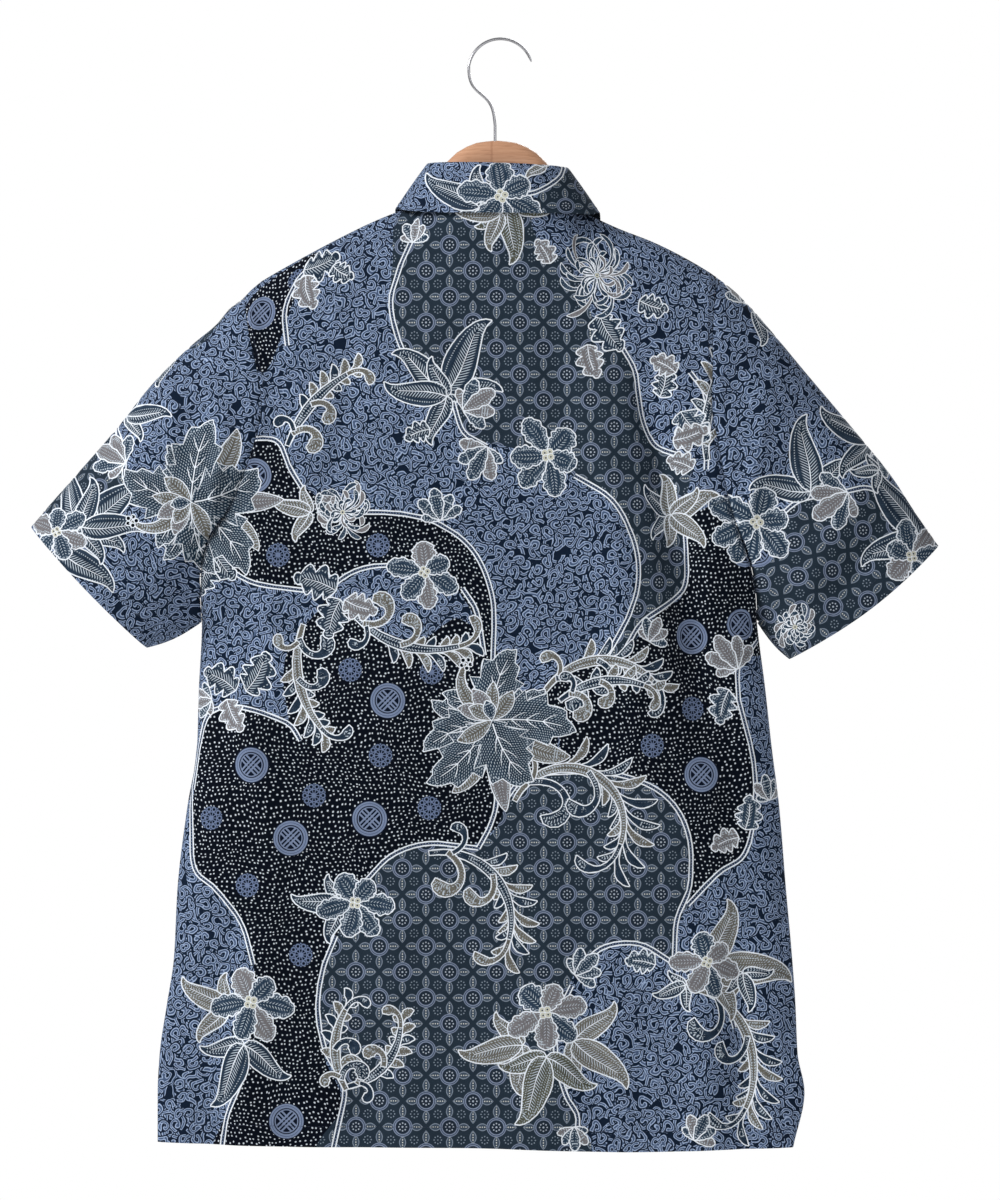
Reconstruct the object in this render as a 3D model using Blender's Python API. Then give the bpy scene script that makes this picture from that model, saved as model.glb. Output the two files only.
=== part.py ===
"""A short-sleeved batik shirt that hangs on a wooden hanger with a wire hook.

Millimetres below, metres in the meshes. The origin is at the inner top of the hook, +Z is up, the
shirt's back faces -Y and its buttoned front faces +Y. The wearer's left is at -X.
Each panel is a grid of points on its outer face. A wall is given to it along the normals, and
panels that meet at a seam share those normals, so that their cut edges face each other.
"""

import math

import bpy
import numpy as np

MM = 0.001
CLOTH = 1.1           # wall of a single layer of cloth
COLLAR_CLOTH = 2.0    # wall of the stiffened, doubled collar
SEAM = 0.3            # space between two pieces at a seam
ARMHOLE_SEAM = 0.4

# The armhole ends at the armpit. Below the shoulder line a panel leaves the middle plane: a
# quarter of its depth within the first distance, the rest within the second.
ARMPIT = -480.0
SHARP_LEAVE = 0.25
SHARP_LEAVE_WITHIN = 4.0
SOFT_LEAVE_WITHIN = 60.0
COLUMN_SHIFT_WITHIN = 60.0    # where the columns move from their top places to the lower ones
PROFILE_POWER = 2.5           # roundness of the body from side to side

# The body, level by level: the sides' distance across, how far the edge of the back stands from
# the middle plane, the depth of the back and of the front, and the front armhole's deeper cut.
BODY_COLUMNS = ("z", "left", "right", "edge", "back", "front", "scoop")
BODY_LEVELS = (
    (-190.0, -210.0, 181.6, 36.0, 34.0, 42.0, 0.0),
    (-240.0, -203.9, 177.4, 37.0, 35.0, 44.0, 5.0),
    (-265.0, -198.0, 177.2, 38.0, 36.0, 45.0, 9.0),
    (-303.0, -192.4, 176.3, 38.0, 37.0, 46.0, 15.0),
    (-332.0, -198.0, 181.3, 38.0, 38.0, 46.0, 18.0),
    (-362.0, -208.6, 186.3, 37.5, 38.0, 46.0, 18.0),
    (-387.0, -219.2, 191.9, 36.0, 39.0, 46.0, 15.0),
    (-414.0, -236.5, 201.5, 32.0, 39.0, 46.0, 9.0),
    (-437.0, -242.5, 209.5, 26.5, 40.0, 46.0, 4.0),
    (-460.0, -243.4, 213.4, 17.0, 40.0, 46.0, 1.0),
    (-473.0, -243.3, 214.4, 8.0, 40.0, 46.0, 0.0),
    (-480.0, -243.3, 215.0, 0.0, 40.0, 46.0, 0.0),
    (-535.0, -245.9, 222.0, 0.0, 40.0, 46.0, 0.0),
    (-583.0, -247.4, 227.3, 0.0, 39.0, 45.0, 0.0),
    (-633.0, -255.5, 233.6, 0.0, 37.0, 43.0, 0.0),
    (-700.0, -263.6, 239.1, 0.0, 34.0, 39.0, 0.0),
    (-757.0, -266.5, 244.2, 0.0, 31.0, 35.0, 0.0),
    (-797.0, -272.5, 247.0, 0.8, 29.0, 32.0, 0.0),
    (-836.0, -278.0, 248.5, 4.0, 27.0, 30.0, 0.0),
    (-867.0, -279.4, 254.0, 8.0, 25.0, 29.0, 0.0),
    (-912.0, -279.2, 244.5, 11.0, 24.0, 28.0, 0.0),
)

# The shoulder line by distance from the middle, carried on over the neck and past the armhole.
SHOULDER_COLUMNS = ("across", "left", "right")
SHOULDER_LINE = (
    (0.0, -113.0, -113.0),
    (32.0, -120.0, -121.5),
    (64.0, -134.0, -137.5),
    (100.0, -148.5, -154.6),
    (130.0, -163.0, -166.4),
    (160.0, -179.0, -181.6),
    (181.0, -190.8, -194.7),
    (197.0, -200.6, -208.0),
    (210.0, -213.4, -221.0),
)
SHOULDER_END_LEFT = -209.5
SHOULDER_END_RIGHT = 181.6

# The hem line of the back, and how much lower the front hangs.
HEM_COLUMNS = ("x", "back", "front_drop")
HEM_LINE = (
    (-279.2, -908.0, 1.0),
    (-140.0, -911.5, 1.5),
    (-20.0, -912.0, 1.2),
    (60.0, -914.5, 3.6),
    (110.0, -915.5, 2.6),
    (180.0, -914.0, 1.0),
    (244.5, -912.5, 1.0),
)

# The neck seam is an oval, level at the back and dropping at the front.
NECK_MIDDLE = 1.0
NECK_HALF_WIDTH = 65.0
NECK_BACK = 32.0
NECK_FRONT = 44.0
NECK_SIDE_HEIGHT = -135.7
NECK_TILT = -1.8
NECK_FRONT_DROP = 74.0
NECK_FRONT_TURN = 1.6
NECK_REACH = 38.0     # how far its shape is felt in the panels
FRONT_EDGE_SHARE = 1.15

# The collar: a stand on the neck seam, and a fall that turns over it.
STAND_HEIGHT = 29.5
STAND_FRONT_HEIGHT = 24.0
STAND_SIDE_LEAN = 9.0
STAND_BACK_LEAN = 2.0
STAND_LAP = 1.5
STAND_START = 0.42    # the stand's lower edge, above the neck seam
ROLL_RISE = 3.0
FALL_END = 172.0
FALL_BULGE = 2.6
FALL_SIDE_BULGE = 0.4
FALL_OUT = 2.9        # how far the fall turns out over the stand
FALL_COLUMNS = ("turn", "across", "left_z", "right_z", "proud")
FALL_EDGE = (
    (0.0, 0.0, -144.6, -144.6, 4.0),
    (30.0, 44.0, -144.2, -144.8, 4.5),
    (60.0, 74.0, -141.6, -144.8, 4.5),
    (90.0, 84.5, -138.4, -141.8, 4.0),
    (110.0, 85.0, -146.6, -149.4, 6.2),
    (130.0, 81.0, -172.0, -174.0, 4.6),
    (150.0, 72.0, -204.0, -205.0, 3.6),
    (165.0, 62.0, -228.0, -228.0, 3.4),
    (172.0, 56.0, -238.0, -238.0, 3.4),
)

# Sleeves: the line of the top fold from the armhole to the cuff, at equal steps of its length,
# the underarm, and the cuff's half depth.
SLEEVE_TOP_COLUMNS = ("along", "left_x", "left_z", "right_x", "right_z")
SLEEVE_TOP = (
    (0.00, -209.5, -213.2, 181.6, -194.6),
    (0.06, -220.0, -221.0, 193.0, -203.0),
    (0.12, -231.0, -234.0, 204.5, -213.6),
    (0.22, -250.5, -250.2, 223.0, -234.5),
    (0.40, -282.5, -281.4, 255.0, -273.0),
    (0.60, -315.0, -321.5, 289.5, -314.0),
    (0.80, -349.5, -361.0, 326.5, -359.5),
    (0.92, -372.5, -387.0, 346.0, -389.5),
    (1.00, -384.2, -401.2, 365.0, -416.9),
)
CUFF_BOTTOM_LEFT = (-288.6, -501.2)
CUFF_BOTTOM_RIGHT = (241.9, -510.6)
CUFF_HALF_DEPTH_LEFT = 41.0
CUFF_HALF_DEPTH_RIGHT = 33.0
CUFF_BOW_LEFT = 1.5
CUFF_BOW_RIGHT = 6.5
SLEEVE_PUFF = 7.0
UNDERARM_SAG = 3.0

# The largest folds: ridges where height is above nought, troughs below it. Each runs between
# two points of the panel and fades at both ends.
FOLD_COLUMNS = ("x_top", "z_top", "x_low", "z_low", "half_width", "height")
BACK_FOLDS = (
    (118.0, -262.0, 140.0, -560.0, 11.0, -7.0),
    (146.0, -250.0, 168.0, -600.0, 15.0, 5.0),
    (92.0, -300.0, 108.0, -640.0, 20.0, 2.6),
    (-184.0, -250.0, -186.0, -350.0, 9.0, -5.0),
    (-224.0, -430.0, -226.0, -600.0, 13.0, -5.0),
    (-196.0, -420.0, -188.0, -640.0, 18.0, 3.4),
    (-60.0, -330.0, -72.0, -700.0, 38.0, 2.2),
    (190.0, -520.0, 204.0, -720.0, 12.0, -3.2),
    (204.0, -700.0, 206.0, -960.0, 11.0, -6.0),
    (172.0, -690.0, 176.0, -960.0, 16.0, 4.0),
    (-226.0, -700.0, -236.0, -960.0, 14.0, -4.5),
    (-196.0, -690.0, -204.0, -960.0, 18.0, 3.6),
    (-104.0, -760.0, -112.0, -960.0, 26.0, -3.4),
    (40.0, -760.0, 44.0, -960.0, 30.0, 3.0),
)
FRONT_FOLDS = (
    (-122.0, -270.0, -150.0, -580.0, 13.0, -6.5),
    (-150.0, -280.0, -176.0, -600.0, 16.0, 4.5),
    (96.0, -280.0, 122.0, -600.0, 13.0, -6.0),
    (128.0, -290.0, 150.0, -610.0, 17.0, 4.5),
    (60.0, -330.0, 72.0, -660.0, 24.0, 3.0),
    (-70.0, -340.0, -84.0, -660.0, 24.0, 3.0),
    (-206.0, -460.0, -214.0, -640.0, 12.0, -4.5),
    (186.0, -460.0, 194.0, -640.0, 12.0, -4.5),
    (-196.0, -700.0, -206.0, -970.0, 15.0, -5.0),
    (-92.0, -720.0, -96.0, -970.0, 24.0, 4.5),
    (98.0, -700.0, 102.0, -970.0, 20.0, -4.5),
    (170.0, -700.0, 178.0, -970.0, 18.0, 4.0),
)

# The front opening: the left front laps over the right one about this middle line.
FRONT_MIDDLE = 0.0
FRONT_LAP = 17.0
FRONT_UNDER = 1.7
UNDER_FADE_START = 54.4
UNDER_FADE = 34.0
BUTTON_RADIUS = 5.6
BUTTON_THICKNESS = 2.4
BUTTON_HOLE_OFFSET = 1.45
BUTTON_HOLE_RADIUS = 0.55
FIRST_BUTTON = -238.0
BUTTON_STEP = 100.0
FRONT_BUTTONS = 6
STAND_BUTTON_CLEARANCE = 0.9

# The hanger.
WOOD_COLUMNS = ("across", "top")
WOOD_HUMP = (
    (0.0, -82.2),
    (14.0, -83.6),
    (29.0, -89.6),
    (41.4, -100.4),
    (50.5, -115.0),
    (57.0, -131.5),
    (64.0, -145.0),
    (80.0, -153.0),
    (100.0, -159.5),
)
WOOD_SEATED_FROM = 118.0
WOOD_UNDER_CLOTH = 1.9
WOOD_HALF_LENGTH = 197.0
WOOD_THICKNESS = 13.0
WOOD_MIDDLE_HEIGHT = 30.0
WOOD_END_HEIGHT = 15.0
WOOD_STATIONS = 45
WIRE_RADIUS = 1.6
HOOK_CENTRE_X = 3.3
HOOK_CENTRE_Z = -24.8
HOOK_RADIUS = 26.6
HOOK_TIP_ANGLE = 17.0
HOOK_TURN_ANGLE = 216.0
STEM_X = -1.2
STEM_BEND = (-5.6, -47.0)
STEM_STRAIGHT_FROM = -58.0
STEM_INTO_WOOD = 18.0

BODY_PANELS = ("back_panel", "front_left", "front_right")

# Grid steps.
SHOULDER_STEPS = 7
NECK_STEPS = 10
ARMHOLE_SHARES = (0.0, 0.012, 0.035, 0.075, 0.15, 0.25, 0.36, 0.48, 0.6, 0.72, 0.83, 0.92, 0.98, 1.0)
LOWER_ROWS = 15
FRONT_NECK_STEPS = 7
SLEEVE_STEPS = 10


def read(rows, columns, name, at):
    """A column of a table at a place between its rows, on a smooth curve with no overshoot."""
    places = np.array([row[0] for row in rows])
    values = np.array([row[columns.index(name)] for row in rows])
    if places[0] > places[-1]:
        places = places[::-1]
        values = values[::-1]
    at = min(max(at, places[0]), places[-1])
    index = min(int(np.searchsorted(places, at, side="right")) - 1, len(places) - 2)
    steps = np.diff(places)
    slopes = np.diff(values) / steps
    tangents = []
    for corner in (index, index + 1):
        if corner == 0:
            tangents.append(slopes[0])
        elif corner == len(places) - 1:
            tangents.append(slopes[-1])
        elif slopes[corner - 1] * slopes[corner] <= 0:
            tangents.append(0.0)
        else:
            before = slopes[corner - 1]
            after = slopes[corner]
            tangents.append(2.0 * before * after / (before + after))
    step = steps[index]
    t = (at - places[index]) / step
    rise = values[index + 1] - values[index]
    bend = (1 - t) * (tangents[0] * step - rise) - t * (tangents[1] * step - rise)
    return float(values[index] + t * rise + t * (1 - t) * bend)


def body(name, z):
    return read(BODY_LEVELS, BODY_COLUMNS, name, z)


def smooth(value):
    value = min(max(value, 0.0), 1.0)
    return value * value * (3.0 - 2.0 * value)


def neck(turn):
    """The neck seam at a turn in degrees: 0 at the back, 90 at the right shoulder, 180 in front."""
    angle = math.radians(turn)
    back = math.cos(angle)
    mean_depth = (NECK_BACK + NECK_FRONT) / 2
    lean = (NECK_FRONT - NECK_BACK) / 2
    z = NECK_SIDE_HEIGHT + NECK_TILT * math.sin(angle)
    z -= NECK_FRONT_DROP * max(0.0, -back) ** NECK_FRONT_TURN
    x = NECK_MIDDLE + NECK_HALF_WIDTH * math.sin(angle)
    return np.array((x, -mean_depth * back + lean * back * back, z))


def collar_frame(turn):
    """The directions out of the neck and up the collar, both square to the neck seam."""
    angle = math.radians(turn)
    along = neck(turn + 1.0) - neck(turn - 1.0)
    along /= np.linalg.norm(along)
    outward = np.array((math.sin(angle), -math.cos(angle), 0.0))
    outward -= along * along.dot(outward)
    outward /= np.linalg.norm(outward)
    upward = np.cross(along, outward)
    return outward, upward * math.copysign(1.0, upward[2])


def ridge(x):
    """Height of the shoulder line, where the back and the front meet in the middle plane."""
    return read(SHOULDER_LINE, SHOULDER_COLUMNS, "left" if x < 0 else "right", abs(x))


def top_line(x, side):
    """Depth and height of the panel's top edge: the neck seam between the shoulders, else the ridge."""
    across = (x - NECK_MIDDLE) / NECK_HALF_WIDTH
    if abs(across) < 1.0:
        turn = math.degrees(math.asin(across))
        point = neck(turn if side < 0 else 180.0 - turn)
        return point[1], point[2]
    return 0.0, ridge(x)


def folds(x, z, rows):
    total = 0.0
    for x_top, z_top, x_low, z_low, half_width, height in rows:
        t = (z_top - z) / (z_top - z_low)
        if 0.0 < t < 1.0:
            middle = x_top + (x_low - x_top) * t
            wander = half_width * 0.5 * math.sin(3.0 * t + 0.05 * x_top)
            fade = math.sin(math.pi * t) ** 0.8
            total += height * fade * math.exp(-(((x - middle - wander) / half_width) ** 2))
    return total


def side_edges(z, side):
    """The two side edges of a panel at a level. The front armhole is cut further in."""
    scoop = body("scoop", z) if side > 0 else 0.0
    return body("left", z) + scoop, body("right", z) - scoop


def hung_depth(x, z, side):
    """Depth of a panel that leaves the shoulder line and hangs, before the neck shapes it."""
    low, high = side_edges(z, side)
    place = min(max(2.0 * (x - low) / (high - low) - 1.0, -1.0), 1.0)
    profile = (1.0 - abs(place) ** PROFILE_POWER) ** (1.0 / PROFILE_POWER)
    edge = body("edge", z) * (1.0 if side < 0 else FRONT_EDGE_SHARE)
    middle = body("back" if side < 0 else "front", z)
    below = max(0.0, ridge(x) - z)
    leave = SHARP_LEAVE * (1.0 - math.exp(-below / SHARP_LEAVE_WITHIN))
    leave += (1.0 - SHARP_LEAVE) * (1.0 - math.exp(-below / SOFT_LEAVE_WITHIN))
    y = side * leave * (edge + (middle - edge) * profile)
    fade = (1.0 - abs(place) ** 8) * smooth(below / SOFT_LEAVE_WITHIN)
    return y + side * fade * folds(x, z, BACK_FOLDS if side < 0 else FRONT_FOLDS)


def neck_offsets(side):
    """How far the neck seam stands off the hung panel, at steps along the seam."""
    first = 0.0 if side < 0 else 90.0
    turns = np.linspace(first, first + 90.0, 19)
    points = [neck(turn) for turn in list(-turns[::-1]) + list(turns)]
    return np.array([(x, z, y - hung_depth(x, z, side)) for x, y, z in points])


def depth(x, z, side):
    """Y of the outer face of the back (side -1) or of the front (side 1)."""
    seam = NECK_OFFSETS[side]
    start = seam[:-1]
    run = seam[1:, :2] - start[:, :2]
    size = np.maximum((run ** 2).sum(axis=1), 1e-9)
    share = np.clip(((np.array((x, z)) - start[:, :2]) * run).sum(axis=1) / size, 0.0, 1.0)
    away = np.hypot(*(np.array((x, z)) - start[:, :2] - run * share[:, None]).T)
    near = int(away.argmin())
    offset = start[near, 2] + (seam[near + 1, 2] - start[near, 2]) * share[near]
    y = hung_depth(x, z, side) + offset * math.exp(-((away[near] / NECK_REACH) ** 2))
    return y + side * SEAM / 2


def hem(x, side):
    height = read(HEM_LINE, HEM_COLUMNS, "back", x)
    if side > 0:
        height -= read(HEM_LINE, HEM_COLUMNS, "front_drop", x)
    return height


def edge_heights(shoulder_x, side):
    """Heights of the rows down one side edge: closer together by the shoulder and the armpit."""
    start = top_line(shoulder_x, side)[1]
    rows = [start + (ARMPIT - start) * share for share in ARMHOLE_SHARES]
    end = hem(HEM_LINE[0][0] if shoulder_x < 0 else HEM_LINE[-1][0], side)
    for row in range(1, LOWER_ROWS + 1):
        rows.append(ARMPIT + (end - ARMPIT) * row / LOWER_ROWS)
    return np.array(rows)


def shoulder_places(turn_side):
    """Places along one shoulder, from the neck out to the armhole."""
    inner = neck(90.0 * turn_side)[0]
    outer = SHOULDER_END_LEFT if turn_side < 0 else SHOULDER_END_RIGHT
    return [inner + (outer - inner) * step / SHOULDER_STEPS for step in range(SHOULDER_STEPS + 1)]


def spread(count):
    """Places from 0 to 1 that close up towards both ends."""
    turn = np.linspace(-1.0, 1.0, count)
    return 0.5 + 0.25 * (turn + np.sin(turn * math.pi / 2))


def panel(tops, lower, low_edge, high_edge, side, under=0.0):
    """A grid of a body panel. tops are the columns' places on the top line, lower their shares of
    the width below it. An edge is a list of heights and a function that gives its place across."""
    low_z, low_x = low_edge
    high_z, high_x = high_edge
    grid = np.empty((len(low_z), len(tops), 3))
    first = (tops - tops[0]) / (tops[-1] - tops[0])
    hem_low = low_x(low_z[-1])
    hem_high = high_x(high_z[-1])
    for column, top in enumerate(tops):
        top_y, top_z = top_line(top, side)
        hem_z = hem(hem_low + (hem_high - hem_low) * lower[column], side)
        for row in range(len(low_z)):
            gone = 1.0 - math.exp((low_z[row] - low_z[0]) / COLUMN_SHIFT_WITHIN)
            share = first[column] + (lower[column] - first[column]) * gone
            down_low = (low_z[0] - low_z[row]) / (low_z[0] - low_z[-1])
            down_high = (high_z[0] - high_z[row]) / (high_z[0] - high_z[-1])
            z = top_z + (hem_z - top_z) * (down_low + (down_high - down_low) * share)
            x = low_x(z) + (high_x(z) - low_x(z)) * share
            if row == 0:
                x = top
            y = top_y + side * SEAM / 2 if row == 0 else depth(x, z, side)
            if under:
                y -= under * smooth((UNDER_FADE_START - x) / UNDER_FADE)
            grid[row, column] = (x, y, z)
    return grid


def back_grid():
    turns = np.linspace(-90.0, 90.0, NECK_STEPS + 1)
    tops = shoulder_places(-1)[::-1]
    tops += [neck(turn)[0] for turn in turns[1:-1]]
    tops += shoulder_places(1)
    tops = np.array(tops)
    left_z = edge_heights(SHOULDER_END_LEFT, -1)
    right_z = edge_heights(SHOULDER_END_RIGHT, -1)
    left = (left_z, lambda z: side_edges(z, -1)[0])
    right = (right_z, lambda z: side_edges(z, -1)[1])
    return panel(tops, spread(len(tops)), left, right, -1)


def front_turns(turn_side):
    """Turns along one front's neck edge, from the shoulder to its edge past the middle."""
    end = FRONT_MIDDLE - turn_side * FRONT_LAP
    last = 180.0 - math.degrees(math.asin((end - NECK_MIDDLE) / NECK_HALF_WIDTH)) * turn_side
    return np.linspace(90.0, last, FRONT_NECK_STEPS + 1)


def front_grid(turn_side):
    """The front on one side: from its side seam to its edge past the middle."""
    end = FRONT_MIDDLE - turn_side * FRONT_LAP
    turns = front_turns(turn_side)
    tops = shoulder_places(turn_side)[::-1]
    tops += [neck(turn_side * turn)[0] for turn in turns[1:]]
    tops = np.array(tops)
    whole = spread(2 * len(tops) - 1)[: len(tops)] * 2.0
    outer = SHOULDER_END_LEFT if turn_side < 0 else SHOULDER_END_RIGHT
    seam_z = edge_heights(outer, 1)
    opening_top = top_line(end, 1)[1]
    opening_z = opening_top + (hem(end, 1) - opening_top) * (seam_z - seam_z[0]) / (seam_z[-1] - seam_z[0])
    seam = (seam_z, lambda z: side_edges(z, 1)[0 if turn_side < 0 else 1])
    opening = (opening_z, lambda z: end)
    return panel(tops, whole, seam, opening, 1, FRONT_UNDER if turn_side > 0 else 0.0)


def sleeve_grid(back, front, turn_side):
    """A tube from the armhole to the cuff. It starts at the top, runs down the back edge of the
    armhole, round the armpit and up the front edge."""
    which = "left" if turn_side < 0 else "right"
    column = 0 if turn_side < 0 else -1
    halfway = len(ARMHOLE_SHARES) - 1
    ring = np.concatenate([back[: halfway + 1, column], front[halfway - 1 : 0 : -1, 0]])
    ring[0, 1] = 0.0
    ring[halfway, 1] = 0.0
    lengths = np.linalg.norm(np.roll(ring, -1, axis=0) - ring, axis=1)
    cuff_top = [read(SLEEVE_TOP, SLEEVE_TOP_COLUMNS, which + axis, 1.0) for axis in ("_x", "_z")]
    cuff_low = CUFF_BOTTOM_LEFT if turn_side < 0 else CUFF_BOTTOM_RIGHT
    half_depth = CUFF_HALF_DEPTH_LEFT if turn_side < 0 else CUFF_HALF_DEPTH_RIGHT
    bow = CUFF_BOW_LEFT if turn_side < 0 else CUFF_BOW_RIGHT
    chord = np.array((cuff_low[0] - cuff_top[0], 0.0, cuff_low[1] - cuff_top[1]))
    outward = np.array((chord[2], 0.0, -chord[0])) * -turn_side / np.linalg.norm(chord)
    grid = np.empty((SLEEVE_STEPS + 1, len(ring), 3))
    for place, point in enumerate(ring):
        if place <= halfway:
            angle = math.pi * lengths[:place].sum() / lengths[:halfway].sum()
        else:
            angle = math.pi * (1 + lengths[halfway:place].sum() / lengths[halfway:].sum())
        down = (1 - math.cos(angle)) / 2
        belly = math.copysign(abs(math.sin(angle)) ** 0.85, -math.sin(angle))
        cuff = np.array((cuff_top[0], 0.0, cuff_top[1])) + chord * down
        cuff[1] = 2.0 + half_depth * belly
        cuff += outward * bow * math.sin(math.pi * down)
        along = ring[(place + 1) % len(ring)] - ring[place - 1]
        along /= np.linalg.norm(along)
        leave = cuff - point
        leave -= along * along.dot(leave)
        start = point + ARMHOLE_SEAM * leave / np.linalg.norm(leave)
        for step in range(SLEEVE_STEPS + 1):
            t = step / SLEEVE_STEPS
            t = 0.7 * t + 0.3 * t * t
            spot = start + (cuff - start) * t
            for axis, name in ((0, "_x"), (2, "_z")):
                straight = ring[0, axis] + (cuff_top[0 if axis == 0 else 1] - ring[0, axis]) * t
                rail = read(SLEEVE_TOP, SLEEVE_TOP_COLUMNS, which + name, t)
                spot[axis] += (rail - straight) * ((1 + math.cos(angle)) / 2) ** 1.5
            spot[1] += SLEEVE_PUFF * belly * math.sin(math.pi * t)
            spot[2] -= UNDERARM_SAG * down * down * math.sin(math.pi * t)
            grid[step, place] = spot
    return grid


def stand_point(turn, up, lap=1.0):
    """The outer face of the collar stand: up is 0 on the neck seam and 1 at its top."""
    outward, upward = collar_frame(turn)
    sine = math.sin(math.radians(turn)) ** 2
    front = smooth((abs(turn) - 90.0) / 90.0)
    height = STAND_HEIGHT + (STAND_FRONT_HEIGHT - STAND_HEIGHT) * front
    lean = STAND_BACK_LEAN + (STAND_SIDE_LEAN - STAND_BACK_LEAN) * sine
    point = neck(turn) + upward * (STAND_START + (height - STAND_START) * up) - outward * lean * up
    over = lap * smooth((abs(turn) - 150.0) / 22.0)
    point[1] += STAND_LAP * over * (1.0 if turn < 0 else -1.0)
    return point


def stand_turns():
    turns = list(-front_turns(-1)[::-1])[:-1]
    turns += list(np.linspace(-90.0, 90.0, NECK_STEPS + 1))
    return turns + list(front_turns(1))[1:]


def stand_grid():
    turns = stand_turns()
    return np.array([[stand_point(turn, up) for turn in turns] for up in (1.0, 0.5, 0.0)])


def fall_edge(turn):
    """The free edge of the collar fall, lying just off the panels."""
    away = abs(turn)
    x = NECK_MIDDLE + math.copysign(read(FALL_EDGE, FALL_COLUMNS, "across", away), turn)
    z = read(FALL_EDGE, FALL_COLUMNS, "left_z" if turn < 0 else "right_z", away)
    proud = read(FALL_EDGE, FALL_COLUMNS, "proud", away)
    if away < 90.0:
        sweep = math.cos(math.radians(turn))
        y = -(NECK_BACK + proud) * sweep ** 0.8 - 1.0
    else:
        y = depth(x, z, 1) + proud * smooth((away - 84.0) / 16.0)
    return np.array((x, y, z))


def fall_grid():
    """Rows from the inner side of the roll, over its crest and down to the free edge."""
    inner = [turn for turn in stand_turns() if abs(turn) < FALL_END - 4.0]
    turns = [-FALL_END] + inner + [FALL_END]
    rows = [(0.0, -0.8, -0.6), (0.0, 1.4, 0.0)]
    rows += [(share, FALL_OUT, -0.6) for share in (0.06, 0.3, 0.55, 0.8, 1.0)]
    grid = []
    for share, out, lift in rows:
        line = []
        for turn in turns:
            outward, upward = collar_frame(turn)
            over = out + 1.3 * STAND_LAP * smooth((abs(turn) - 138.0) / 30.0)
            roll = stand_point(turn, 1.0, 0.0) + outward * over + upward * (ROLL_RISE + lift)
            spot = roll + (fall_edge(turn) - roll) * share
            bulge = FALL_SIDE_BULGE + (FALL_BULGE - FALL_SIDE_BULGE) * math.cos(math.radians(turn)) ** 2
            line.append(spot + outward * bulge * math.sin(math.pi * share))
        grid.append(line)
    return np.array(grid)


def faces_of(rows, columns, closed):
    faces = []
    for row in range(rows - 1):
        for column in range(columns if closed else columns - 1):
            after = (column + 1) % columns
            corners = (row * columns + column, row * columns + after)
            faces.append(corners + (corners[1] + columns, corners[0] + columns))
    return faces


def normals_of(grid, closed):
    points = grid.reshape(-1, 3)
    total = np.zeros_like(points)
    for face in faces_of(grid.shape[0], grid.shape[1], closed):
        one, two, three, four = (points[index] for index in face)
        normal = np.cross(three - one, four - two)
        for index in face:
            total[index] += normal
    return (total / np.linalg.norm(total, axis=1)[:, None]).reshape(grid.shape)


def rim_of(rows, columns, closed):
    top = [(0, column) for column in range(columns)]
    low = [(rows - 1, column) for column in range(columns)]
    if closed:
        return top + low
    sides = [(row, column) for row in range(rows) for column in (0, columns - 1)]
    return top + low + sides


def share_normals(cloths):
    """Pieces that meet at a seam take one normal there, so that the cut edges lie face to face.
    The back and the fronts count as one side of the seam, and each other piece as one."""
    spots = []
    for name, (grid, closed, normals, wall) in cloths.items():
        side = "body" if name in BODY_PANELS else name
        for spot in rim_of(grid.shape[0], grid.shape[1], closed):
            spots.append((name, side, spot, grid[spot], normals[spot].copy()))
    points = np.array([spot[3] for spot in spots])
    for name, _, spot, point, _ in spots:
        near = np.flatnonzero(np.linalg.norm(points - point, axis=1) < 3.0 * SEAM)
        total = np.zeros(3)
        for side in {spots[index][1] for index in near}:
            mean = sum(spots[index][4] for index in near if spots[index][1] == side)
            total += mean / np.linalg.norm(mean)
        if abs(point[1]) < SEAM:
            total[1] = 0.0
        cloths[name][2][spot] = total / np.linalg.norm(total)


def new_material(name, colour, roughness, metallic):
    material = bpy.data.materials.new(name)
    material.use_nodes = True
    shader = material.node_tree.nodes["Principled BSDF"]
    shader.inputs["Base Color"].default_value = (*colour, 1.0)
    shader.inputs["Roughness"].default_value = roughness
    shader.inputs["Metallic"].default_value = metallic
    return material


def new_object(name, points, faces, material):
    mesh = bpy.data.meshes.new(name)
    mesh.from_pydata([tuple(point) for point in np.asarray(points) * MM], [], faces)
    mesh.materials.append(material)
    mesh.shade_smooth()
    mesh.set_sharp_from_angle(angle=math.radians(50.0))
    piece = bpy.data.objects.new(name, mesh)
    bpy.context.collection.objects.link(piece)
    return piece


def cloth_object(name, cloth, material):
    """A closed wall: the outer face, the inner face a wall's thickness behind it, and the rims."""
    grid, closed, normals, wall = cloth
    rows, columns = grid.shape[:2]
    outer = grid.reshape(-1, 3)
    inner = (grid - normals * wall).reshape(-1, 3)
    count = len(outer)
    faces = []
    for one, two, three, four in faces_of(rows, columns, closed):
        faces += [(one, two, three), (one, three, four)]
    walls = [tuple(index + count for index in reversed(face)) for face in faces]
    rims = []
    for column in range(columns if closed else columns - 1):
        after = (column + 1) % columns
        rims.append((column, column + count, after + count, after))
        first = (rows - 1) * columns
        rims.append((first + after, first + after + count, first + column + count, first + column))
    if not closed:
        for row in range(rows - 1):
            here = row * columns
            below = here + columns
            rims.append((below, below + count, here + count, here))
            last = here + columns - 1
            rims.append((last, last + count, last + columns + count, last + columns))
    return new_object(name, np.concatenate([outer, inner]), faces + walls + rims, material)


def wood_top(x):
    across = abs(x)
    hump = read(WOOD_HUMP, WOOD_COLUMNS, "top", across)
    seat = ridge(math.copysign(max(across, 70.0), x)) - WOOD_UNDER_CLOTH
    if across < 70.0:
        return hump
    return hump + (seat - hump) * smooth((across - 82.0) / (WOOD_SEATED_FROM - 82.0))


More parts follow.
